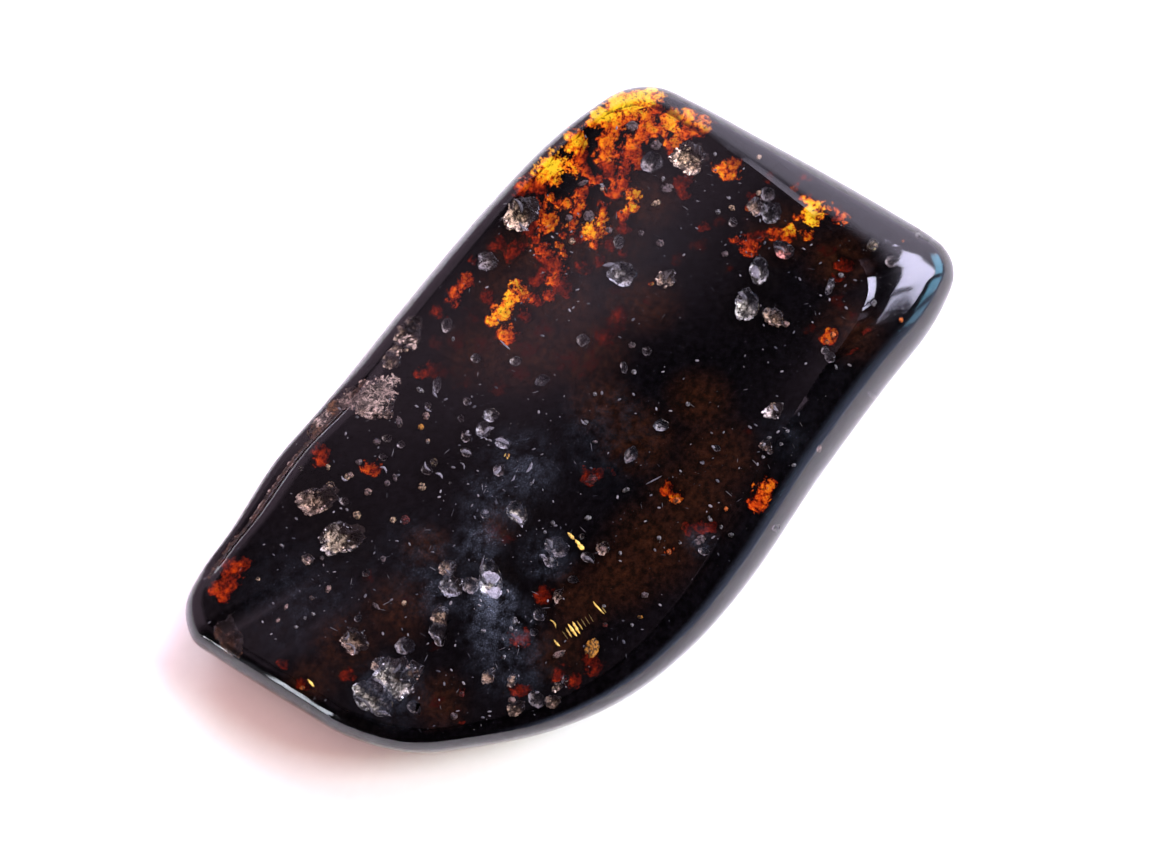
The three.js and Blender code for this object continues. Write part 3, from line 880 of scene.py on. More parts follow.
# How open the dust is in the middle of a window of each tone.
WINDOW_OPENING = {YELLOW: 1.25, GOLD: 1.08, ORANGE: 1.0, EMBER: 0.95, RUST: 0.95, RED: 0.90, DIM: 0.65}
# How far the cloud lies under the face and under the sides, in millimetres.
CLOUD_DEPTH = 0.42
CLOUD_SIDE_DEPTH = 0.30
# How much deeper the cloud's top lies in a window of each tone, in millimetres.
WINDOW_TONES = [0.0, DIM, RED, RUST, EMBER, ORANGE, GOLD, YELLOW]
WINDOW_DIPS = [0.2, 0.5, 1.0, 1.0, 1.0, 0.85, 0.65, 0.5]
# The windows' outlines are bent to and fro this far, in bends of this size.
WARP = 0.28
WARP_SIZE = 1.3
# The cloud's top has low lumps, keeps off the pits' floors, and never dips below this height.
LUMP_HEIGHT = 0.08
LUMP_SIZE = 0.9
PIT_CLEARANCE = 0.2
LOWEST_TOP = 5.2


def fractal_field(spots, size, octaves, seed):
    """Cloudy noise at each spot, about from -1 to 1."""
    shift = Vector((seed, 2.3 * seed, 5.9 * seed))
    return np.array([noise.fractal(Vector(s) / size + shift, 0.9, 2.1, octaves) for s in spots])


cloud_stations = Stations(14)
cloud_rings = cloud_stations.rings(under_steps=9, round_steps=8, ledge_steps=3, face_steps=54)
cloud = added("dust_cloud", closed_skin("dust_cloud", cloud_rings))
cloud_count = len(cloud.data.vertices)
spots = np.array([v.co for v in cloud.data.vertices])
normals = np.array([v.normal for v in cloud.data.vertices])
up_facing = smooth_step(normals[:, 2], 0.25, 1.0)
bends = [fractal_field(spots, WARP_SIZE * MM, 3, seed) for seed in (1.0, 4.0)]
warped = spots[:, :2] + WARP * MM * np.stack(bends, axis=1)
clear = np.zeros(cloud_count)
weight_sum = np.full(cloud_count, 1e-6)
tone_sum = np.zeros(cloud_count)
for tone, rows in WINDOWS.items():
    dip = np.interp(tone, WINDOW_TONES, WINDOW_DIPS)
    for px, py, radius in rows:
        middle = under_skin(px, py, (CLOUD_DEPTH + dip) * MM)[:2]
        share = bump_of(warped, middle, radius * PIXEL, 0.35, 1.9)
        clear = np.maximum(clear, WINDOW_OPENING[tone] * share)
        weight_sum += share**2
        tone_sum += tone * share**2
tone_of = tone_sum / weight_sum
brown = np.zeros(cloud_count)
for px, py, radius in BROWN_ZONES:
    middle = under_skin(px, py, CLOUD_DEPTH * MM)[:2]
    brown = np.maximum(brown, bump_of(warped, middle, radius * PIXEL, 0.2, 1.3))
depth = CLOUD_SIDE_DEPTH + (CLOUD_DEPTH - CLOUD_SIDE_DEPTH) * up_facing
depth = depth + LUMP_HEIGHT * up_facing * fractal_field(spots, LUMP_SIZE * MM, 3, 9.0)
dips = np.interp(tone_of, WINDOW_TONES, WINDOW_DIPS) * np.minimum(clear, 1)
for pit in pits:
    needed = pit.depth / MM * 1.25 + PIT_CLEARANCE - CLOUD_DEPTH
    near = bump_of(spots[:, :2], pit.middle[:2], pit.radius, 1.2, 2.1)
    dips = np.maximum(dips, needed * near)
room = np.clip(spots[:, 2] / MM - LOWEST_TOP, 0.05, 4)
shift = normals * -depth[:, None]
shift[:, 2] -= np.minimum(dips, room) * up_facing
cloud.data.vertices.foreach_set("co", (spots + shift * MM).ravel())
number_on_points(cloud.data, "clear", clear * smooth_step(normals[:, 2], 0.05, 0.3))
number_on_points(cloud.data, "tone", tone_of)
number_on_points(cloud.data, "brown", brown)

# The painted glow of the windows from the dimmest to the clearest: colour on the dust that stands in
# for light coming through the clear resin.
GLOW_STOPS = [
    (0.00, (0.004, 0.0008, 0.0008)),
    (0.14, (0.022, 0.0025, 0.002)),
    (0.28, (0.10, 0.008, 0.004)),
    (0.46, (0.32, 0.036, 0.006)),
    (0.64, (0.52, 0.135, 0.010)),
    (0.84, (0.56, 0.30, 0.013)),
    (1.00, (0.58, 0.45, 0.03)),
]


def dust_finish():
    """Black and brown dust that opens in a spongy way to windows painted with the glow of light through
    the resin, with dark flecks in them.
    """
    material, wire, place = new_finish("bark_dust")
    tone = wire.written("tone")
    sponge = wire.noise(place, 1.1 * MM, detail=9, roughness=0.70) - 0.5
    curds = wire.noise(place, 0.42 * MM, detail=5, roughness=0.72) - 0.5
    flecks = wire.noise(place, 0.30 * MM, detail=4, roughness=0.75)
    opened = wire.written("clear") + (sponge * 4.2 + curds * 2.2) * (tone + 0.25)
    window = opened.between(0.46, 0.80 - tone * 0.26)
    core = opened.between(0.40, 1.15)
    heat = tone * (core * 0.43 + 0.59) + (curds * 1.5 + sponge * 0.7) * (tone * 1.15 + 0.06)
    glow = wire.add("ShaderNodeValToRGB", {"Fac": heat}, stops=GLOW_STOPS)
    speckled = (flecks.between(0.54, 0.62) * 0.9).mixed(glow, rgb(0.016, 0.004, 0.002))
    lint = wire.noise(place, 0.5 * MM, detail=6, roughness=0.7).between(0.35, 0.75)
    black = lint.mixed(rgb(0.0002, 0.0001, 0.0002), rgb(0.0028, 0.0025, 0.0044))
    umber = lint.mixed(rgb(0.0034, 0.0015, 0.0009), rgb(0.024, 0.0082, 0.0050))
    dust = wire.written("brown").mixed(black, umber)
    body = wire.add("ShaderNodeBsdfDiffuse", {"Color": window.mixed(dust, speckled)})
    wire.add("ShaderNodeOutputMaterial", {"Surface": body})
    return material


cloud.data.materials.append(dust_finish())
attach(cloud, "root")

# Crumbs in the pits
# Broken bits of crust and mineral that still sit in the crumbly pits, fused to their floors. They
# are a fraction of a millimetre across, sharp and pale.


def set_input(modifier, name, value):
    """Sets an input of a Geometry Nodes modifier, found by its name, through its identifier."""
    for item in modifier.node_group.interface.items_tree:
        if item.item_type == "SOCKET" and item.in_out == "INPUT" and item.name == name:
            modifier[item.identifier] = value


FULL_TURN = 6.283


def grain_tree(name, faces_level):
    """Grains strewn over a surface, many small and few large, each turned its own way."""
    tree = bpy.data.node_groups.new(name, "GeometryNodeTree")
    sockets = tree.interface
    sockets.new_socket("Geometry", in_out="INPUT", socket_type="NodeSocketGeometry")
    for label, default in (("Per area", 1.0), ("Smallest", 0.1 * MM), ("Largest", 0.3 * MM),
                           ("Length", 1.0), ("Flatness", 0.7), ("Tilt", 0.5)):
        number = sockets.new_socket(label, in_out="INPUT", socket_type="NodeSocketFloat")
        number.default_value = default
    sockets.new_socket("Seed", in_out="INPUT", socket_type="NodeSocketInt")
    sockets.new_socket("Finish", in_out="INPUT", socket_type="NodeSocketMaterial")
    sockets.new_socket("Geometry", in_out="OUTPUT", socket_type="NodeSocketGeometry")
    wire = Wire(tree)
    ground = wire.add("NodeGroupInput")
    given = ground.beside

    def chance(low, high, number):
        return wire.add("FunctionNodeRandomValue", {
            "Min": low, "Max": high, "Seed": given("Seed") + number}, data_type="FLOAT")

    share = wire.add("GeometryNodeInputNamedAttribute", {"Name": "strewn"}, data_type="FLOAT")
    strewn = wire.add("GeometryNodeDistributePointsOnFaces", {
        "Mesh": ground, "Density": share * given("Per area"), "Seed": given("Seed")},
        out="Points", distribute_method="RANDOM")
    few_large = wire.math("POWER", chance(0.0, 1.0, 1), 3.0)
    size = given("Smallest") + (given("Largest") - given("Smallest")) * few_large
    scale = wire.add("ShaderNodeCombineXYZ", {
        "X": size * given("Length"), "Y": size * chance(0.6, 1.0, 2), "Z": size * given("Flatness")})
    ball = wire.add("GeometryNodeMeshIcoSphere", {"Radius": 1.0, "Subdivisions": faces_level})
    place = wire.add("GeometryNodeInputPosition")
    knobs = wire.add("ShaderNodeTexNoise", {"Vector": place, "Scale": 1.7, "Detail": 1.0}, out="Color")
    push = wire.vector("SCALE", wire.vector("SUBTRACT", knobs, (0.5, 0.5, 0.5)), 1.5)
    knobby = wire.add("GeometryNodeSetPosition", {"Geometry": ball, "Offset": push})
    spin = wire.add("FunctionNodeAxisAngleToRotation", {
        "Axis": (0, 0, 1), "Angle": chance(0.0, FULL_TURN, 3)})
    lean = wire.add("FunctionNodeAxisAngleToRotation", {
        "Axis": (1, 0, 0), "Angle": given("Tilt") * chance(-1.0, 1.0, 4)})
    turned = strewn.beside("Rotation")
    for turn in (spin, lean):
        turned = wire.add("FunctionNodeRotateRotation", {
            "Rotation": turned, "Rotate By": turn}, rotation_space="LOCAL")
    grains = wire.add("GeometryNodeInstanceOnPoints", {
        "Points": strewn, "Instance": knobby, "Rotation": turned, "Scale": scale})
    real = wire.add("GeometryNodeRealizeInstances", {"Geometry": grains})
    finished = wire.add("GeometryNodeSetMaterial", {"Geometry": real, "Material": given("Finish")})
    wire.add("NodeGroupOutput", {"Geometry": finished})
    return tree


def strewn_piece(name, ground, tree, material, **inputs):
    """Strews grains over a ground mesh and keeps only the grains."""
    base = added(name + "_ground", ground)
    modifier = base.modifiers.new("strew", "NODES")
    modifier.node_group = tree
    set_input(modifier, "Finish", material)
    for label, value in inputs.items():
        set_input(modifier, label.replace("_", " "), value)
    mesh = evaluated_mesh(base)
    mesh.name = name
    bpy.data.objects.remove(base)
    return added(name, mesh)


def part_of_mesh(mesh, name, wanted):
    """A copy of some faces of a mesh, with what is written on its points."""
    work = bmesh.new()
    work.from_mesh(mesh)
    bmesh.ops.delete(work, geom=[f for f in work.faces if not wanted(f)], context="FACES")
    made = bpy.data.meshes.new(name)
    work.to_mesh(made)
    work.free()
    made.materials.clear()
    return made


def crumb_finish(name, size):
    """A rough crumb in the tint of what lies round it, with dark dents."""
    material, wire, place = new_finish(name)
    lumps = wire.noise(place, size, detail=4, roughness=0.65)
    shade = lumps.between(0.40, 0.57) * 1.30 + 0.03
    relief = wire.add("ShaderNodeBump", {"Strength": 0.6, "Distance": 0.05 * MM, "Height": lumps})
    body = wire.add("ShaderNodeBsdfPrincipled", {
        "Base Color": wire.vector("SCALE", wire.written("tint", "Color"), shade),
        "Roughness": 0.85 - lumps * 0.35, "Normal": relief})
    wire.add("ShaderNodeOutputMaterial", {"Surface": body})
    return material


CRUMBS_PER_MM2 = 14
crumb_ground = part_of_mesh(
    stone.data, "crumb_ground", lambda face: face.material_index == 1 + CRUMBLY)
crumb_lit_sides = np.zeros(len(crumb_ground.vertices), np.float32)
crumb_ground.attributes["pit_side"].data.foreach_get("value", crumb_lit_sides)
# Crumbs are strewn thickest on the wall that the pit finishes paint lit.
number_on_points(crumb_ground, "strewn", smooth_step(crumb_lit_sides, -0.5, 0.6))
crumb_grains = grain_tree("crumbs", 1)
pit_crumbs = strewn_piece(
    "pit_crumbs", crumb_ground, crumb_grains, crumb_finish("crumb_crust", 0.25 * MM),
    Per_area=CRUMBS_PER_MM2 / MM**2, Smallest=0.025 * MM, Largest=0.15 * MM, Flatness=0.7,
    Tilt=1.2, Seed=11)
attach(pit_crumbs, "root")

# Specks and hairs in the face
# Tiny bubbles that grinding has opened and polish has filled, and short scratches: white specks and
# hairs flush with the face, thickest in a band across the stone and at its narrow end.
SPECKS_PER_MM2 = 0.8
HAIRS_PER_MM2 = 0.09
# Some lie all over the face, and more in these zones: pixels of the middle, radius, and how many.
SPARSE_SHARE = 0.35
SPECK_ZONES = [
    (480, 430, 60, 1.0), (500, 510, 60, 1.3), (520, 600, 60, 1.0), (420, 600, 70, 0.9),
    (330, 560, 60, 0.7), (700, 500, 60, 0.5), (790, 440, 50, 0.8), (600, 470, 80, 0.6),
    (850, 290, 50, 0.8), (730, 210, 60, 0.7), (540, 280, 60, 0.5), (460, 680, 60, 0.7),
]
ground_rings = skin_stations.rings(under_steps=2, round_steps=3, ledge_steps=1, face_steps=40)
face_ground = part_of_mesh(
    closed_skin("face_ground", ground_rings), "face_ground", lambda face: face.normal.z > 0.75)
ground_spots = np.array([v.co for v in face_ground.vertices])
strewn_share = np.full(len(ground_spots), SPARSE_SHARE)
for px, py, radius, strength in SPECK_ZONES:
    strewn_share += strength * bump_of(ground_spots, on_skin(px, py)[0], radius * PIXEL, 0.1, 1.4)
number_on_points(face_ground, "strewn", strewn_share)


def speck_finish():
    """Chalky white, brighter in some places than in others."""
    material, wire, place = new_finish("polish_filled_speck")
    tone = wire.noise(place, 2.0 * MM, detail=2)
    colour = tone.between(0.35, 0.65).mixed(rgb(0.010, 0.010, 0.015), rgb(0.12, 0.11, 0.12))
    body = wire.add("ShaderNodeBsdfPrincipled", {"Base Color": colour, "Roughness": 0.6})
    wire.add("ShaderNodeOutputMaterial", {"Surface": body})
    return material


speck_stuff = speck_finish()
specks = strewn_piece(
    "face_specks", face_ground.copy(), crumb_grains, speck_stuff, Per_area=SPECKS_PER_MM2 / MM**2,
    Smallest=0.012 * MM, Largest=0.11 * MM, Length=1.8, Flatness=0.3, Tilt=0.3, Seed=23)
hairs = strewn_piece(
    "face_hairs", face_ground, crumb_grains, speck_stuff, Per_area=HAIRS_PER_MM2 / MM**2,
    Smallest=0.012 * MM, Largest=0.026 * MM, Length=16.0, Flatness=0.35, Tilt=0.02, Seed=31)
for piece in (specks, hairs):
    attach(piece, "root")

# Grains sealed in the amber
# Rounded bits of older resin, wood and mineral that sank into the soft resin and were ground flush
# with the face: cream, gold, orange and grey.
# Each row: the pixels of its middle, its two widths in pixels, its turn in degrees.
GRAINS = {
    "cream": [
        (422, 487, 9, 9, 0), (428, 441, 5, 5, 0), (393, 520, 7, 7, 20), (258, 579, 5, 5, 0),
        (347, 477, 7, 8, 0), (357, 515, 9, 10, 0), (406, 350, 6, 5, 0), (572, 241, 8, 7, 0),
        (602, 189, 5, 5, 0), (732, 208, 8, 6, 30), (759, 157, 6, 6, 0), (759, 193, 7, 6, 0),
        (328, 467, 5, 7, 0), (404, 603, 6, 6, 0), (441, 616, 11, 9, 0), (773, 406, 7, 8, 0),
        (876, 246, 5, 4, 0), (512, 679, 9, 12, 30), (656, 203, 11, 6, -20), (330, 485, 8, 8, 0),
    ],
    "gold": [
        (421, 427, 7, 7, 0), (592, 648, 15, 22, 20), (508, 456, 3, 7, 30), (640, 617, 6, 4, 0),
        (652, 284, 5, 3, 0),
    ],
    "orange": [
        (677, 501, 9, 8, 0), (726, 509, 5, 5, 0), (669, 552, 4, 7, 0), (901, 320, 5, 6, 0),
        (833, 335, 7, 7, 0), (827, 342, 6, 6, 0), (903, 241, 3, 3, 0), (302, 688, 6, 5, 0),
    ],
    "clay": [
        (426, 416, 8, 9, 0), (368, 492, 9, 8, 0), (559, 654, 15, 7, -25), (512, 700, 9, 7, 0),
        (786, 324, 8, 7, 0), (328, 589, 6, 9, 30), (312, 598, 6, 5, 0), (286, 607, 4, 7, 30),
        (278, 620, 4, 7, 30), (308, 559, 7, 6, 0), (603, 549, 9, 9, 0), (350, 475, 8, 7, 0),
        (819, 449, 5, 9, 20),
    ],
    "ash": [
        (769, 438, 6, 4, 0), (781, 444, 5, 4, 20), (787, 431, 5, 4, 0), (718, 212, 6, 6, 0),
        (729, 198, 4, 4, 0), (634, 372, 6, 6, 0), (553, 523, 5, 5, 0), (545, 532, 4, 4, 0),
        (731, 535, 6, 5, 0), (721, 527, 4, 5, 0), (483, 631, 6, 5, 0), (504, 657, 4, 5, 0),
        (296, 627, 5, 4, 0), (305, 618, 4, 4, 0), (313, 614, 5, 4, 0), (453, 339, 4, 5, 0),
        (420, 390, 10, 5, 30), (428, 442, 4, 4, 0), (450, 483, 3, 3, 0), (357, 417, 4, 3, 0),
        (874, 303, 6, 8, 0), (841, 275, 6, 6, 0), (586, 422, 5, 5, 0), (663, 179, 5, 6, 0),
        (715, 154, 4, 5, 0), (836, 367, 3, 6, -20), (794, 465, 5, 4, 0), (763, 457, 4, 4, 0),
        (588, 518, 8, 6, -20), (551, 560, 7, 7, 0), (659, 538, 5, 5, 0), (680, 543, 4, 3, 0),
        (620, 553, 4, 5, 0), (604, 606, 4, 4, 0), (632, 625, 4, 4, 0), (511, 629, 5, 7, 0),
        (515, 621, 6, 9, 0), (710, 519, 4, 8, -35), (688, 404, 5, 5, 0), (626, 490, 9, 5, -20),
        (595, 394, 5, 5, 0),
    ],
    "dusk": [
        (667, 188, 14, 10, 0), (656, 145, 13, 10, 0), (632, 126, 14, 11, 0), (589, 216, 12, 12, 0),
        (583, 183, 12, 5, -20), (609, 230, 8, 7, 0), (660, 243, 9, 8, 0), (641, 233, 7, 7, 0),
        (725, 254, 8, 7, 0), (383, 559, 6, 7, 0), (359, 462, 8, 7, 0), (387, 483, 7, 7, 0),
        (395, 478, 5, 9, -20), (454, 716, 8, 8, 0), (595, 442, 6, 4, 0), (632, 345, 8, 7, 0),
        (377, 442, 9, 7, 0), (700, 540, 14, 9, -30), (645, 595, 9, 7, 0), (376, 606, 10, 5, 40),
        (399, 422, 7, 13, -10), (322, 558, 5, 5, 0), (569, 218, 9, 8, 0),
    ],
    "red": [(405, 520, 10, 10, 0), (592, 479, 13, 10, -20), (605, 625, 6, 5, 0), (462, 694, 6, 7, 0)],
}
GRAIN_DEPTH = 0.05
GRAIN_HALF_THICKNESS = 0.16
GRAIN_SHRINK = 0.78
# Grains narrower than the first are thinner, and ones wider than the second are divided finer.
THIN_GRAIN = 8
FINE_GRAIN = 9

sealed = bmesh.new()
grain_tints = []
for tint, rows in GRAINS.items():
    for number, (px, py, wide, high, turned) in enumerate(rows):
        half = GRAIN_HALF_THICKNESS * MM * min(1, wide / THIN_GRAIN)
        middle = under_skin(px, py, GRAIN_DEPTH * MM + half)
        _, normal, long_way, short_way = spot_on_skin(px, py, wide, high, turned)
        grain_frame = Matrix((long_way, short_way, normal * half)).transposed()
        level = 4 if wide > FINE_GRAIN else 3
        made = bmesh.ops.create_icosphere(sealed, subdivisions=level, radius=1)
        for v in made["verts"]:
            lumps = noise.fractal(v.co * 2.1 + Vector((number, len(tint), px * 0.37)), 0.8, 2.1, 3)
            v.co = middle + grain_frame @ (v.co * GRAIN_SHRINK * min(1.25, 1 + 0.85 * lumps))
            grain_tints.append(TINTS[tint])
sealed_mesh = bpy.data.meshes.new("sealed_grains")
sealed.to_mesh(sealed_mesh)
sealed.free()
tint_on_points(sealed_mesh, "tint", np.array(grain_tints))
sealed_mesh.polygons.foreach_set("use_smooth", [True] * len(sealed_mesh.polygons))
sealed_grains = added("sealed_grains", sealed_mesh)
sealed_mesh.materials.append(crumb_finish("sealed_grain", 0.22 * MM))
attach(sealed_grains, "root")

# Gold cracks and bubble walls
# Small stress cracks inside the clear resin, and flattened bubbles beside them, are thin leaves whose
# colour is painted light: gold glints on the cracks, and a lilac or white highlight crescent on one
# wall of each bubble.
# Each row: the pixels of its middle, its length and width in pixels, its turn in degrees, its bend in
# pixels, and the strength of its painted glint.
CRACK = "crack"
WALL = "wall"
LEAVES = {
    CRACK: [
        (571, 536, 10, 3.4, 44, 0, 0.9), (578, 543, 9, 3.2, 50, 0, 1.0),
        (581, 547, 8, 4.6, 40, 0, 1.0), (597, 606, 12, 1.5, 50, 0.5, 0.75),
        (600, 609, 13, 1.5, 50, 0.5, 0.9), (604, 610, 7, 0.9, 50, 0, 0.25),
        (553, 624, 10, 1.6, 55, -1.5, 0.6), (557, 643, 9, 2.0, 48, 0.5, 0.65),
        (311, 683, 10, 2.4, 47, 0, 0.95), (508, 457, 5, 1.6, -60, 0, 0.5),
        (505, 455, 4, 1.2, -60, 0, 0.4),
    ],
    WALL: [
        (491, 576, 19, 13, 12, 1.5, 1.0), (495, 592, 15, 12, 8, 1.0, 0.95),
        (486, 570, 30, 3.0, 84, 4, 0.22), (516, 521, 19, 4.5, 47, -3, 0.85),
        (502, 442, 15, 4.5, 18, -2, 0.45), (466, 453, 11, 4.0, 12, -1.5, 0.45),
        (497, 470, 11, 4.5, -50, 1.5, 0.40), (489, 431, 13, 4.0, -35, -2, 0.35),
        (529, 467, 12, 3.0, -65, 1.5, 0.35), (462, 466, 8, 1.8, 60, -2, 0.35),
        (486, 512, 6, 4.0, 0, 0, 0.35), (439, 476, 9, 2.5, 40, -2, 0.55),
        (428, 466, 11, 2.4, 60, 2.5, 0.45), (364, 705, 24, 3.0, 42, -3, 0.40),
        (383, 714, 16, 3.0, 15, -2, 0.40), (378, 683, 16, 3.5, 35, -2, 0.40),
        (396, 668, 14, 3.0, -50, 2, 0.35), (350, 649, 14, 2.4, 50, -4, 0.55),
        (346, 636, 9, 2.4, -60, 2, 0.50), (453, 592, 13, 3.0, 40, -2, 0.35),
        (447, 574, 11, 2.6, 60, -2, 0.30), (437, 640, 12, 3.0, 55, -2, 0.40),
        (404, 648, 10, 2.4, 60, 2, 0.30), (588, 560, 14, 3.0, 30, -2, 0.22),
        (549, 544, 12, 3.5, 60, -2, 0.28), (543, 557, 9, 4.0, 30, -1, 0.28),
        (584, 422, 8, 2, 40, 1, 0.3), (532, 482, 8, 1.4, -60, 1, 0.3),
        (513, 478, 8, 1.4, -60, 1, 0.3), (468, 434, 7, 2, 20, 1, 0.4),
        (345, 478, 8, 2.4, 30, 2, 0.45), (383, 470, 9, 2.2, 40, -2.5, 0.5),
        (505, 345, 14, 1.8, 42, 0, 0.35), (742, 297, 13, 4, 50, -2, 0.30),
        (757, 272, 15, 8, 70, 2, 0.45), (764, 208, 12, 3, 60, -2, 0.30),
        (780, 250, 12, 3, 30, -2, 0.30), (612, 268, 20, 5, 12, -3, 0.22),
        (518, 206, 16, 3, 60, -3, 0.40), (524, 226, 14, 2.5, 40, 2, 0.40),
        (436, 392, 12, 3, 75, 2, 0.30), (428, 409, 8, 2, 35, 1, 0.35), (776, 408, 8, 3, 60, 1, 0.5),
        (654, 480, 18, 1.2, -25, 0, 0.22), (740, 300, 9, 2, 20, 1, 0.35),
    ],
}
# One crack is a row of fine striations, widest and with the brightest painted glint about a third of
# the way along: the pixels of its two ends, and where its brightest part lies and how far it spreads,
# as shares.
STRIATIONS = 8
ROW_START = (565, 635)
ROW_END = (591, 618)
ROW_TURN = 57
BRIGHTEST_AT = 0.34
BRIGHT_SPREAD = 0.20
for number in range(STRIATIONS):
    way = number / (STRIATIONS - 1)
    glint_strength = math.exp(-(((way - BRIGHTEST_AT) / BRIGHT_SPREAD) ** 2))
    px, py = (start + (end - start) * way for start, end in zip(ROW_START, ROW_END))
    LEAVES[CRACK].append(
        (px, py, 9 + 7 * glint_strength, 0.8 + 2.1 * glint_strength, ROW_TURN, 0, 0.10 + 0.90 * glint_strength))
# The colours of the painted glints: gold on the cracks, lilac on the bubble walls.
LEAF_GLINT_TINTS = {CRACK: (1.0, 0.66, 0.15), WALL: (0.46, 0.44, 0.56)}
# In millimetres: how deep a leaf lies under the face, how much deeper its edges lie, how thick it is,
# and how far it stands off a pit's floor.
LEAF_DEPTH = 0.07
LEAF_SAG = 0.05
LEAF_THICKNESS = 0.02
LEAF_ON_FLOOR = 0.03
# Half a leaf's width at its tips, in pixels, and the number of spans along it.
LEAF_TIP = 0.08
LEAF_SPANS = 8
leaf_random = random.Random(5)
cut_skin = BVHTree.FromPolygons(
    [v.co for v in stone.data.vertices], [list(f.vertices) for f in stone.data.polygons])


def leaf_place(x, y, depth):
    """A place just under the face at a pixel, or on the floor of the pit that is open there."""
    sight = line_of_sight(x, y)
    floor_place = cut_skin.ray_cast(camera_place, sight)[0]
    if (floor_place - on_skin(x, y)[0]).length > depth:
        return floor_place - sight * (LEAF_ON_FLOOR * MM)
    return under_skin(x, y, depth)


def leaf(work, row):
    """One thin leaf just under the face: a strip along a bent line, narrower at its ends."""
    px, py, long, wide, turned, bend, _ = row
    angle = math.radians(turned + leaf_random.uniform(-3, 3))
    rows = []
    for i in range(LEAF_SPANS + 1):
        way = 2 * i / LEAF_SPANS - 1
        along = way * long / 2
        half = wide / 2 * (1 - abs(way) ** 3) + LEAF_TIP
        corners = []
        for side in (-1, 0, 1):
            across = side * half * leaf_random.uniform(0.7, 1.15) + bend * (1 - way * way)
            x = px + along * math.cos(angle) - across * math.sin(angle)
            y = py + along * math.sin(angle) + across * math.cos(angle)
            sag = (LEAF_SAG * (side != 0) + leaf_random.uniform(0, 0.02)) * min(1, wide / 3)
            corners.append(work.verts.new(leaf_place(x, y, (LEAF_DEPTH + sag) * MM)))
        rows.append(corners)
    for near, far in zip(rows, rows[1:]):
        for side in (0, 1):
            work.faces.new((near[side], near[side + 1], far[side + 1], far[side]))


leaf_work = bmesh.new()
leaf_painted_glints = []
for kind, rows in LEAVES.items():
    for row in rows:
        before = len(leaf_work.verts)
        leaf(leaf_work, row)
        # A leaf's colour is its painted glint: the glint tint scaled by the row's strength.
        tint = [channel * row[-1] for channel in LEAF_GLINT_TINTS[kind]]
        leaf_painted_glints += [tint] * (len(leaf_work.verts) - before)
leaf_mesh = bpy.data.meshes.new("gold_cracks")
leaf_work.to_mesh(leaf_mesh)
leaf_work.free()
tint_on_points(leaf_mesh, "tint", np.array(leaf_painted_glints))
gold_cracks = added("gold_cracks", leaf_mesh)
thickness = gold_cracks.modifiers.new("leaf", "SOLIDIFY")
thickness.thickness = LEAF_THICKNESS * MM
crack_mesh = evaluated_mesh(gold_cracks)
gold_cracks.modifiers.clear()
gold_cracks.data = crack_mesh


def crack_finish():
    """A thin wall whose colour is a painted glint in its own tint, shimmering."""
    material, wire, place = new_finish("crack_glint")
    shimmer = wire.noise(place, 0.22 * MM, detail=3, roughness=0.7).between(0.30, 0.60) * 0.6 + 0.4
    body = wire.add("ShaderNodeBsdfPrincipled", {
        "Base Color": wire.vector("SCALE", wire.written("tint", "Color"), shimmer), "Roughness": 0.4})
    wire.add("ShaderNodeOutputMaterial", {"Surface": body})
    return material


crack_mesh.materials.clear()
crack_mesh.materials.append(crack_finish())
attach(gold_cracks, "root")

# The floor
# A plain sheet of pale paper that the stone lies on, so large that no edge of it shows. It is no
# part of the stone, and lies a hair below it.
FLOOR_HALF = 2.5
FLOOR_GAP = 0.02
floor_signs = ((-1, -1), (1, -1), (1, 1), (-1, 1))
floor_corners = [(x * FLOOR_HALF, y * FLOOR_HALF, -FLOOR_GAP * MM) for x, y in floor_signs]
floor_mesh = bpy.data.meshes.new("floor")
floor_mesh.from_pydata(floor_corners, [], [(0, 1, 2, 3)])
floor = added("floor", floor_mesh)
floor_material, wire, place = new_finish("pale_paper")
fibre = wire.noise(place, 1.5 * MM, detail=3)
paper = fibre.mixed(rgb(0.84, 0.83, 0.84), rgb(0.90, 0.89, 0.90))
sheet = wire.add("ShaderNodeBsdfDiffuse", {"Color": paper})
wire.add("ShaderNodeOutputMaterial", {"Surface": sheet})
floor_mesh.materials.append(floor_material)

# The light
# Soft studio light. The polish mirrors a turned window high beyond the stone's broad end, the panes
# under it, and a narrow window behind the other end. Broad skies and a glow from overhead light the
# stone too, but aren't mirrored in it.
# Each lamp: its azimuth, elevation and roll in degrees, how far off it is, its width and height in
# metres, its glow, and if the polish mirrors it.
LAMPS = {
    "window": (-21, 37.0, 38, 2.0, 1.22, 0.70, (9.9, 9.6, 12.9), True),
    "low_sky": (-42, 18, 0, 2.1, 0.75, 0.90, (11, 12.5, 10), False),
    "left_sky": (-60, 46, 0, 2.2, 0.65, 0.80, (14, 17, 18), False),
    "high_sky": (-6, 50, 0, 2.2, 1.05, 0.90, (8.0, 7.0, 9.5), False),
    "side_sky": (40, 38, 0, 2.2, 1.2, 1.0, (3.0, 3.6, 4.0), False),
    "pane_near": (-23, 12.5, 0, 2.0, 0.70, 0.50, (1.7, 4.0, 5.8), True),
    "pane_middle": (-45, 14, 0, 2.0, 0.28, 0.62, (1.3, 3.2, 4.6), True),
    "pane_far": (-56.3, 12.5, 0, 2.0, 0.25, 0.50, (0.9, 2.0, 2.9), True),
    "far_window": (168.2, 17, 0, 2.0, 0.12, 0.80, (9.0, 9.4, 10.5), True),
    "far_pane": (160.6, 7, 0, 2.0, 0.08, 0.30, (9.0, 9.4, 10.5), True),
    "overhead": (218, 70, 0, 2.2, 2.5, 2.5, (1.6, 0.95, 0.80), False),
}
# The power of a lamp in watts, for each unit of glow and each square metre.
LAMP_POWER = 4


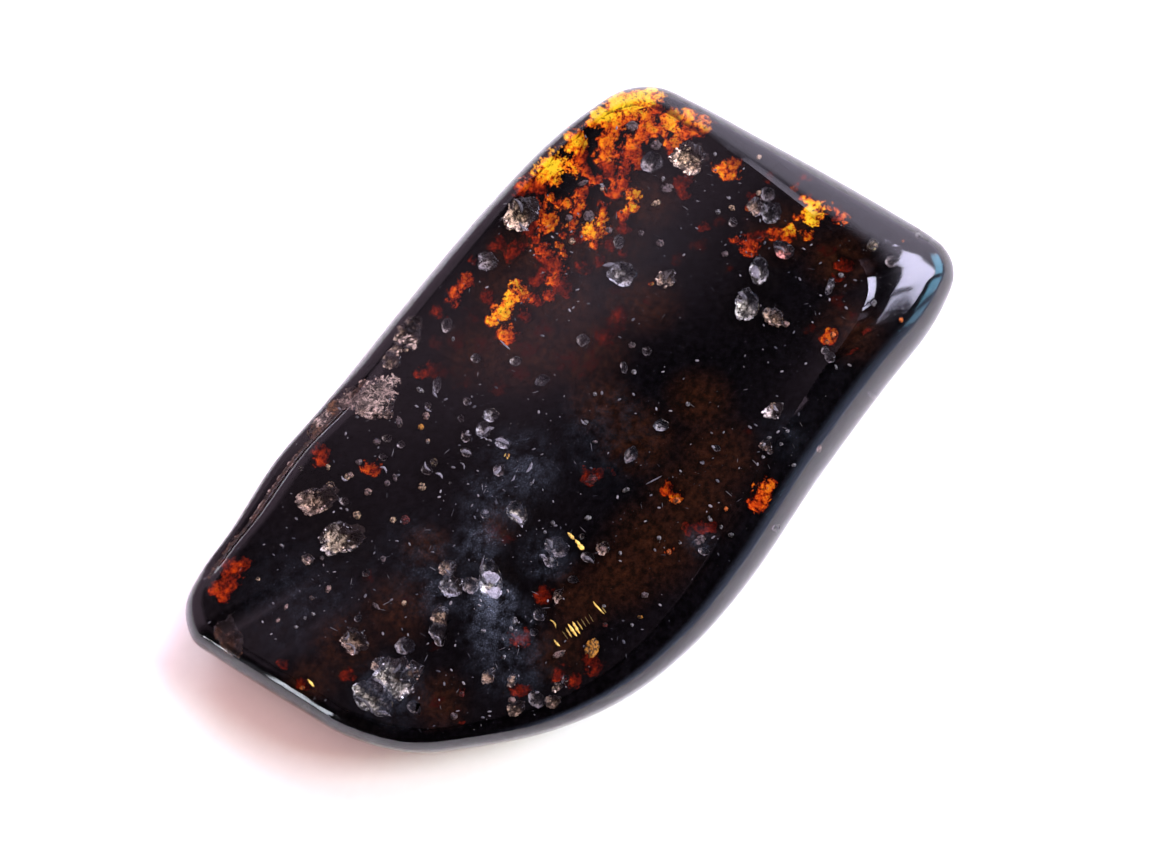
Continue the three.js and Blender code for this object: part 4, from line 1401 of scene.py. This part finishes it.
def way_to(azimuth, elevation):
    """The direction with an azimuth and an elevation in degrees."""
    azimuth = math.radians(azimuth)
    elevation = math.radians(elevation)
    level = math.cos(elevation)
    return Vector((math.cos(azimuth) * level, math.sin(azimuth) * level, math.sin(elevation)))


for name, (azimuth, elevation, roll, away, wide, high, glow, mirrored) in LAMPS.items():
    lamp = bpy.data.lights.new(name, "AREA")
    lamp.shape = "RECTANGLE"
    lamp.size = wide
    lamp.size_y = high
    lamp.energy = LAMP_POWER * max(glow) * wide * high
    lamp.color = [channel / max(glow) for channel in glow]
    lamp_object = bpy.data.objects.new(name, lamp)
    bpy.context.scene.collection.objects.link(lamp_object)
    towards = way_to(azimuth, elevation)
    roll = math.radians(roll)
    level_side = Vector((0, 0, 1)).cross(towards).normalized()
    lamp_side = level_side * math.cos(roll) + towards.cross(level_side) * math.sin(roll)
    lamp_turn = Matrix((lamp_side, towards.cross(lamp_side), towards)).transposed()
    lamp_object.matrix_world = Matrix.Translation(towards * away) @ lamp_turn.to_4x4()
    lamp_object.visible_glossy = mirrored
    lamp_object.visible_transmission = mirrored

# The dim room round the lamps has one warm wall, one bright wall, and one that is bright low down.
ROOM_DARK = (0.015, 0.012, 0.018)
WALL_BRIGHT = (2.05, 1.85, 2.4)
WALL_WARM = (0.78, 0.56, 0.74)
WALL_LOW = (1.1, 1.25, 1.9)
world = bpy.data.worlds.new("room")
bpy.context.scene.world = world
world.use_nodes = True
world.node_tree.nodes.clear()
wire = Wire(world.node_tree)
direction = wire.add("ShaderNodeTexCoord", out="Generated")
height = wire.add("ShaderNodeSeparateXYZ", {"Vector": direction}, out="Z")
heading = wire.vector("NORMALIZE", wire.vector("MULTIPLY", direction, (1, 1, 0)))


def facing(azimuth, low, high):
    """1 where the heading is close to an azimuth, 0 where it is far: low and high are cosines."""
    return wire.vector("DOT_PRODUCT", heading, way_to(azimuth, 0)).between(low, high)


below_ceiling = 1 - height.between(0.62, 0.83)
below_shade = 1 - height.between(0.78, 1.0)
near_floor = 1 - height.between(-0.1, 0.55)
warm_wall = (facing(88, 0.3, 0.95) * below_shade).mixed(rgb(*ROOM_DARK), rgb(*WALL_WARM))
low_wall = (facing(-75, 0.50, 0.88) * near_floor).mixed(warm_wall, rgb(*WALL_LOW))
room = (facing(12, 0.70, 0.97) * below_ceiling).mixed(low_wall, rgb(*WALL_BRIGHT))
background = wire.add("ShaderNodeBackground", {"Color": room, "Strength": 1.0})
wire.add("ShaderNodeOutputWorld", {"Surface": background})
bpy.context.scene.view_settings.view_transform = "Standard"
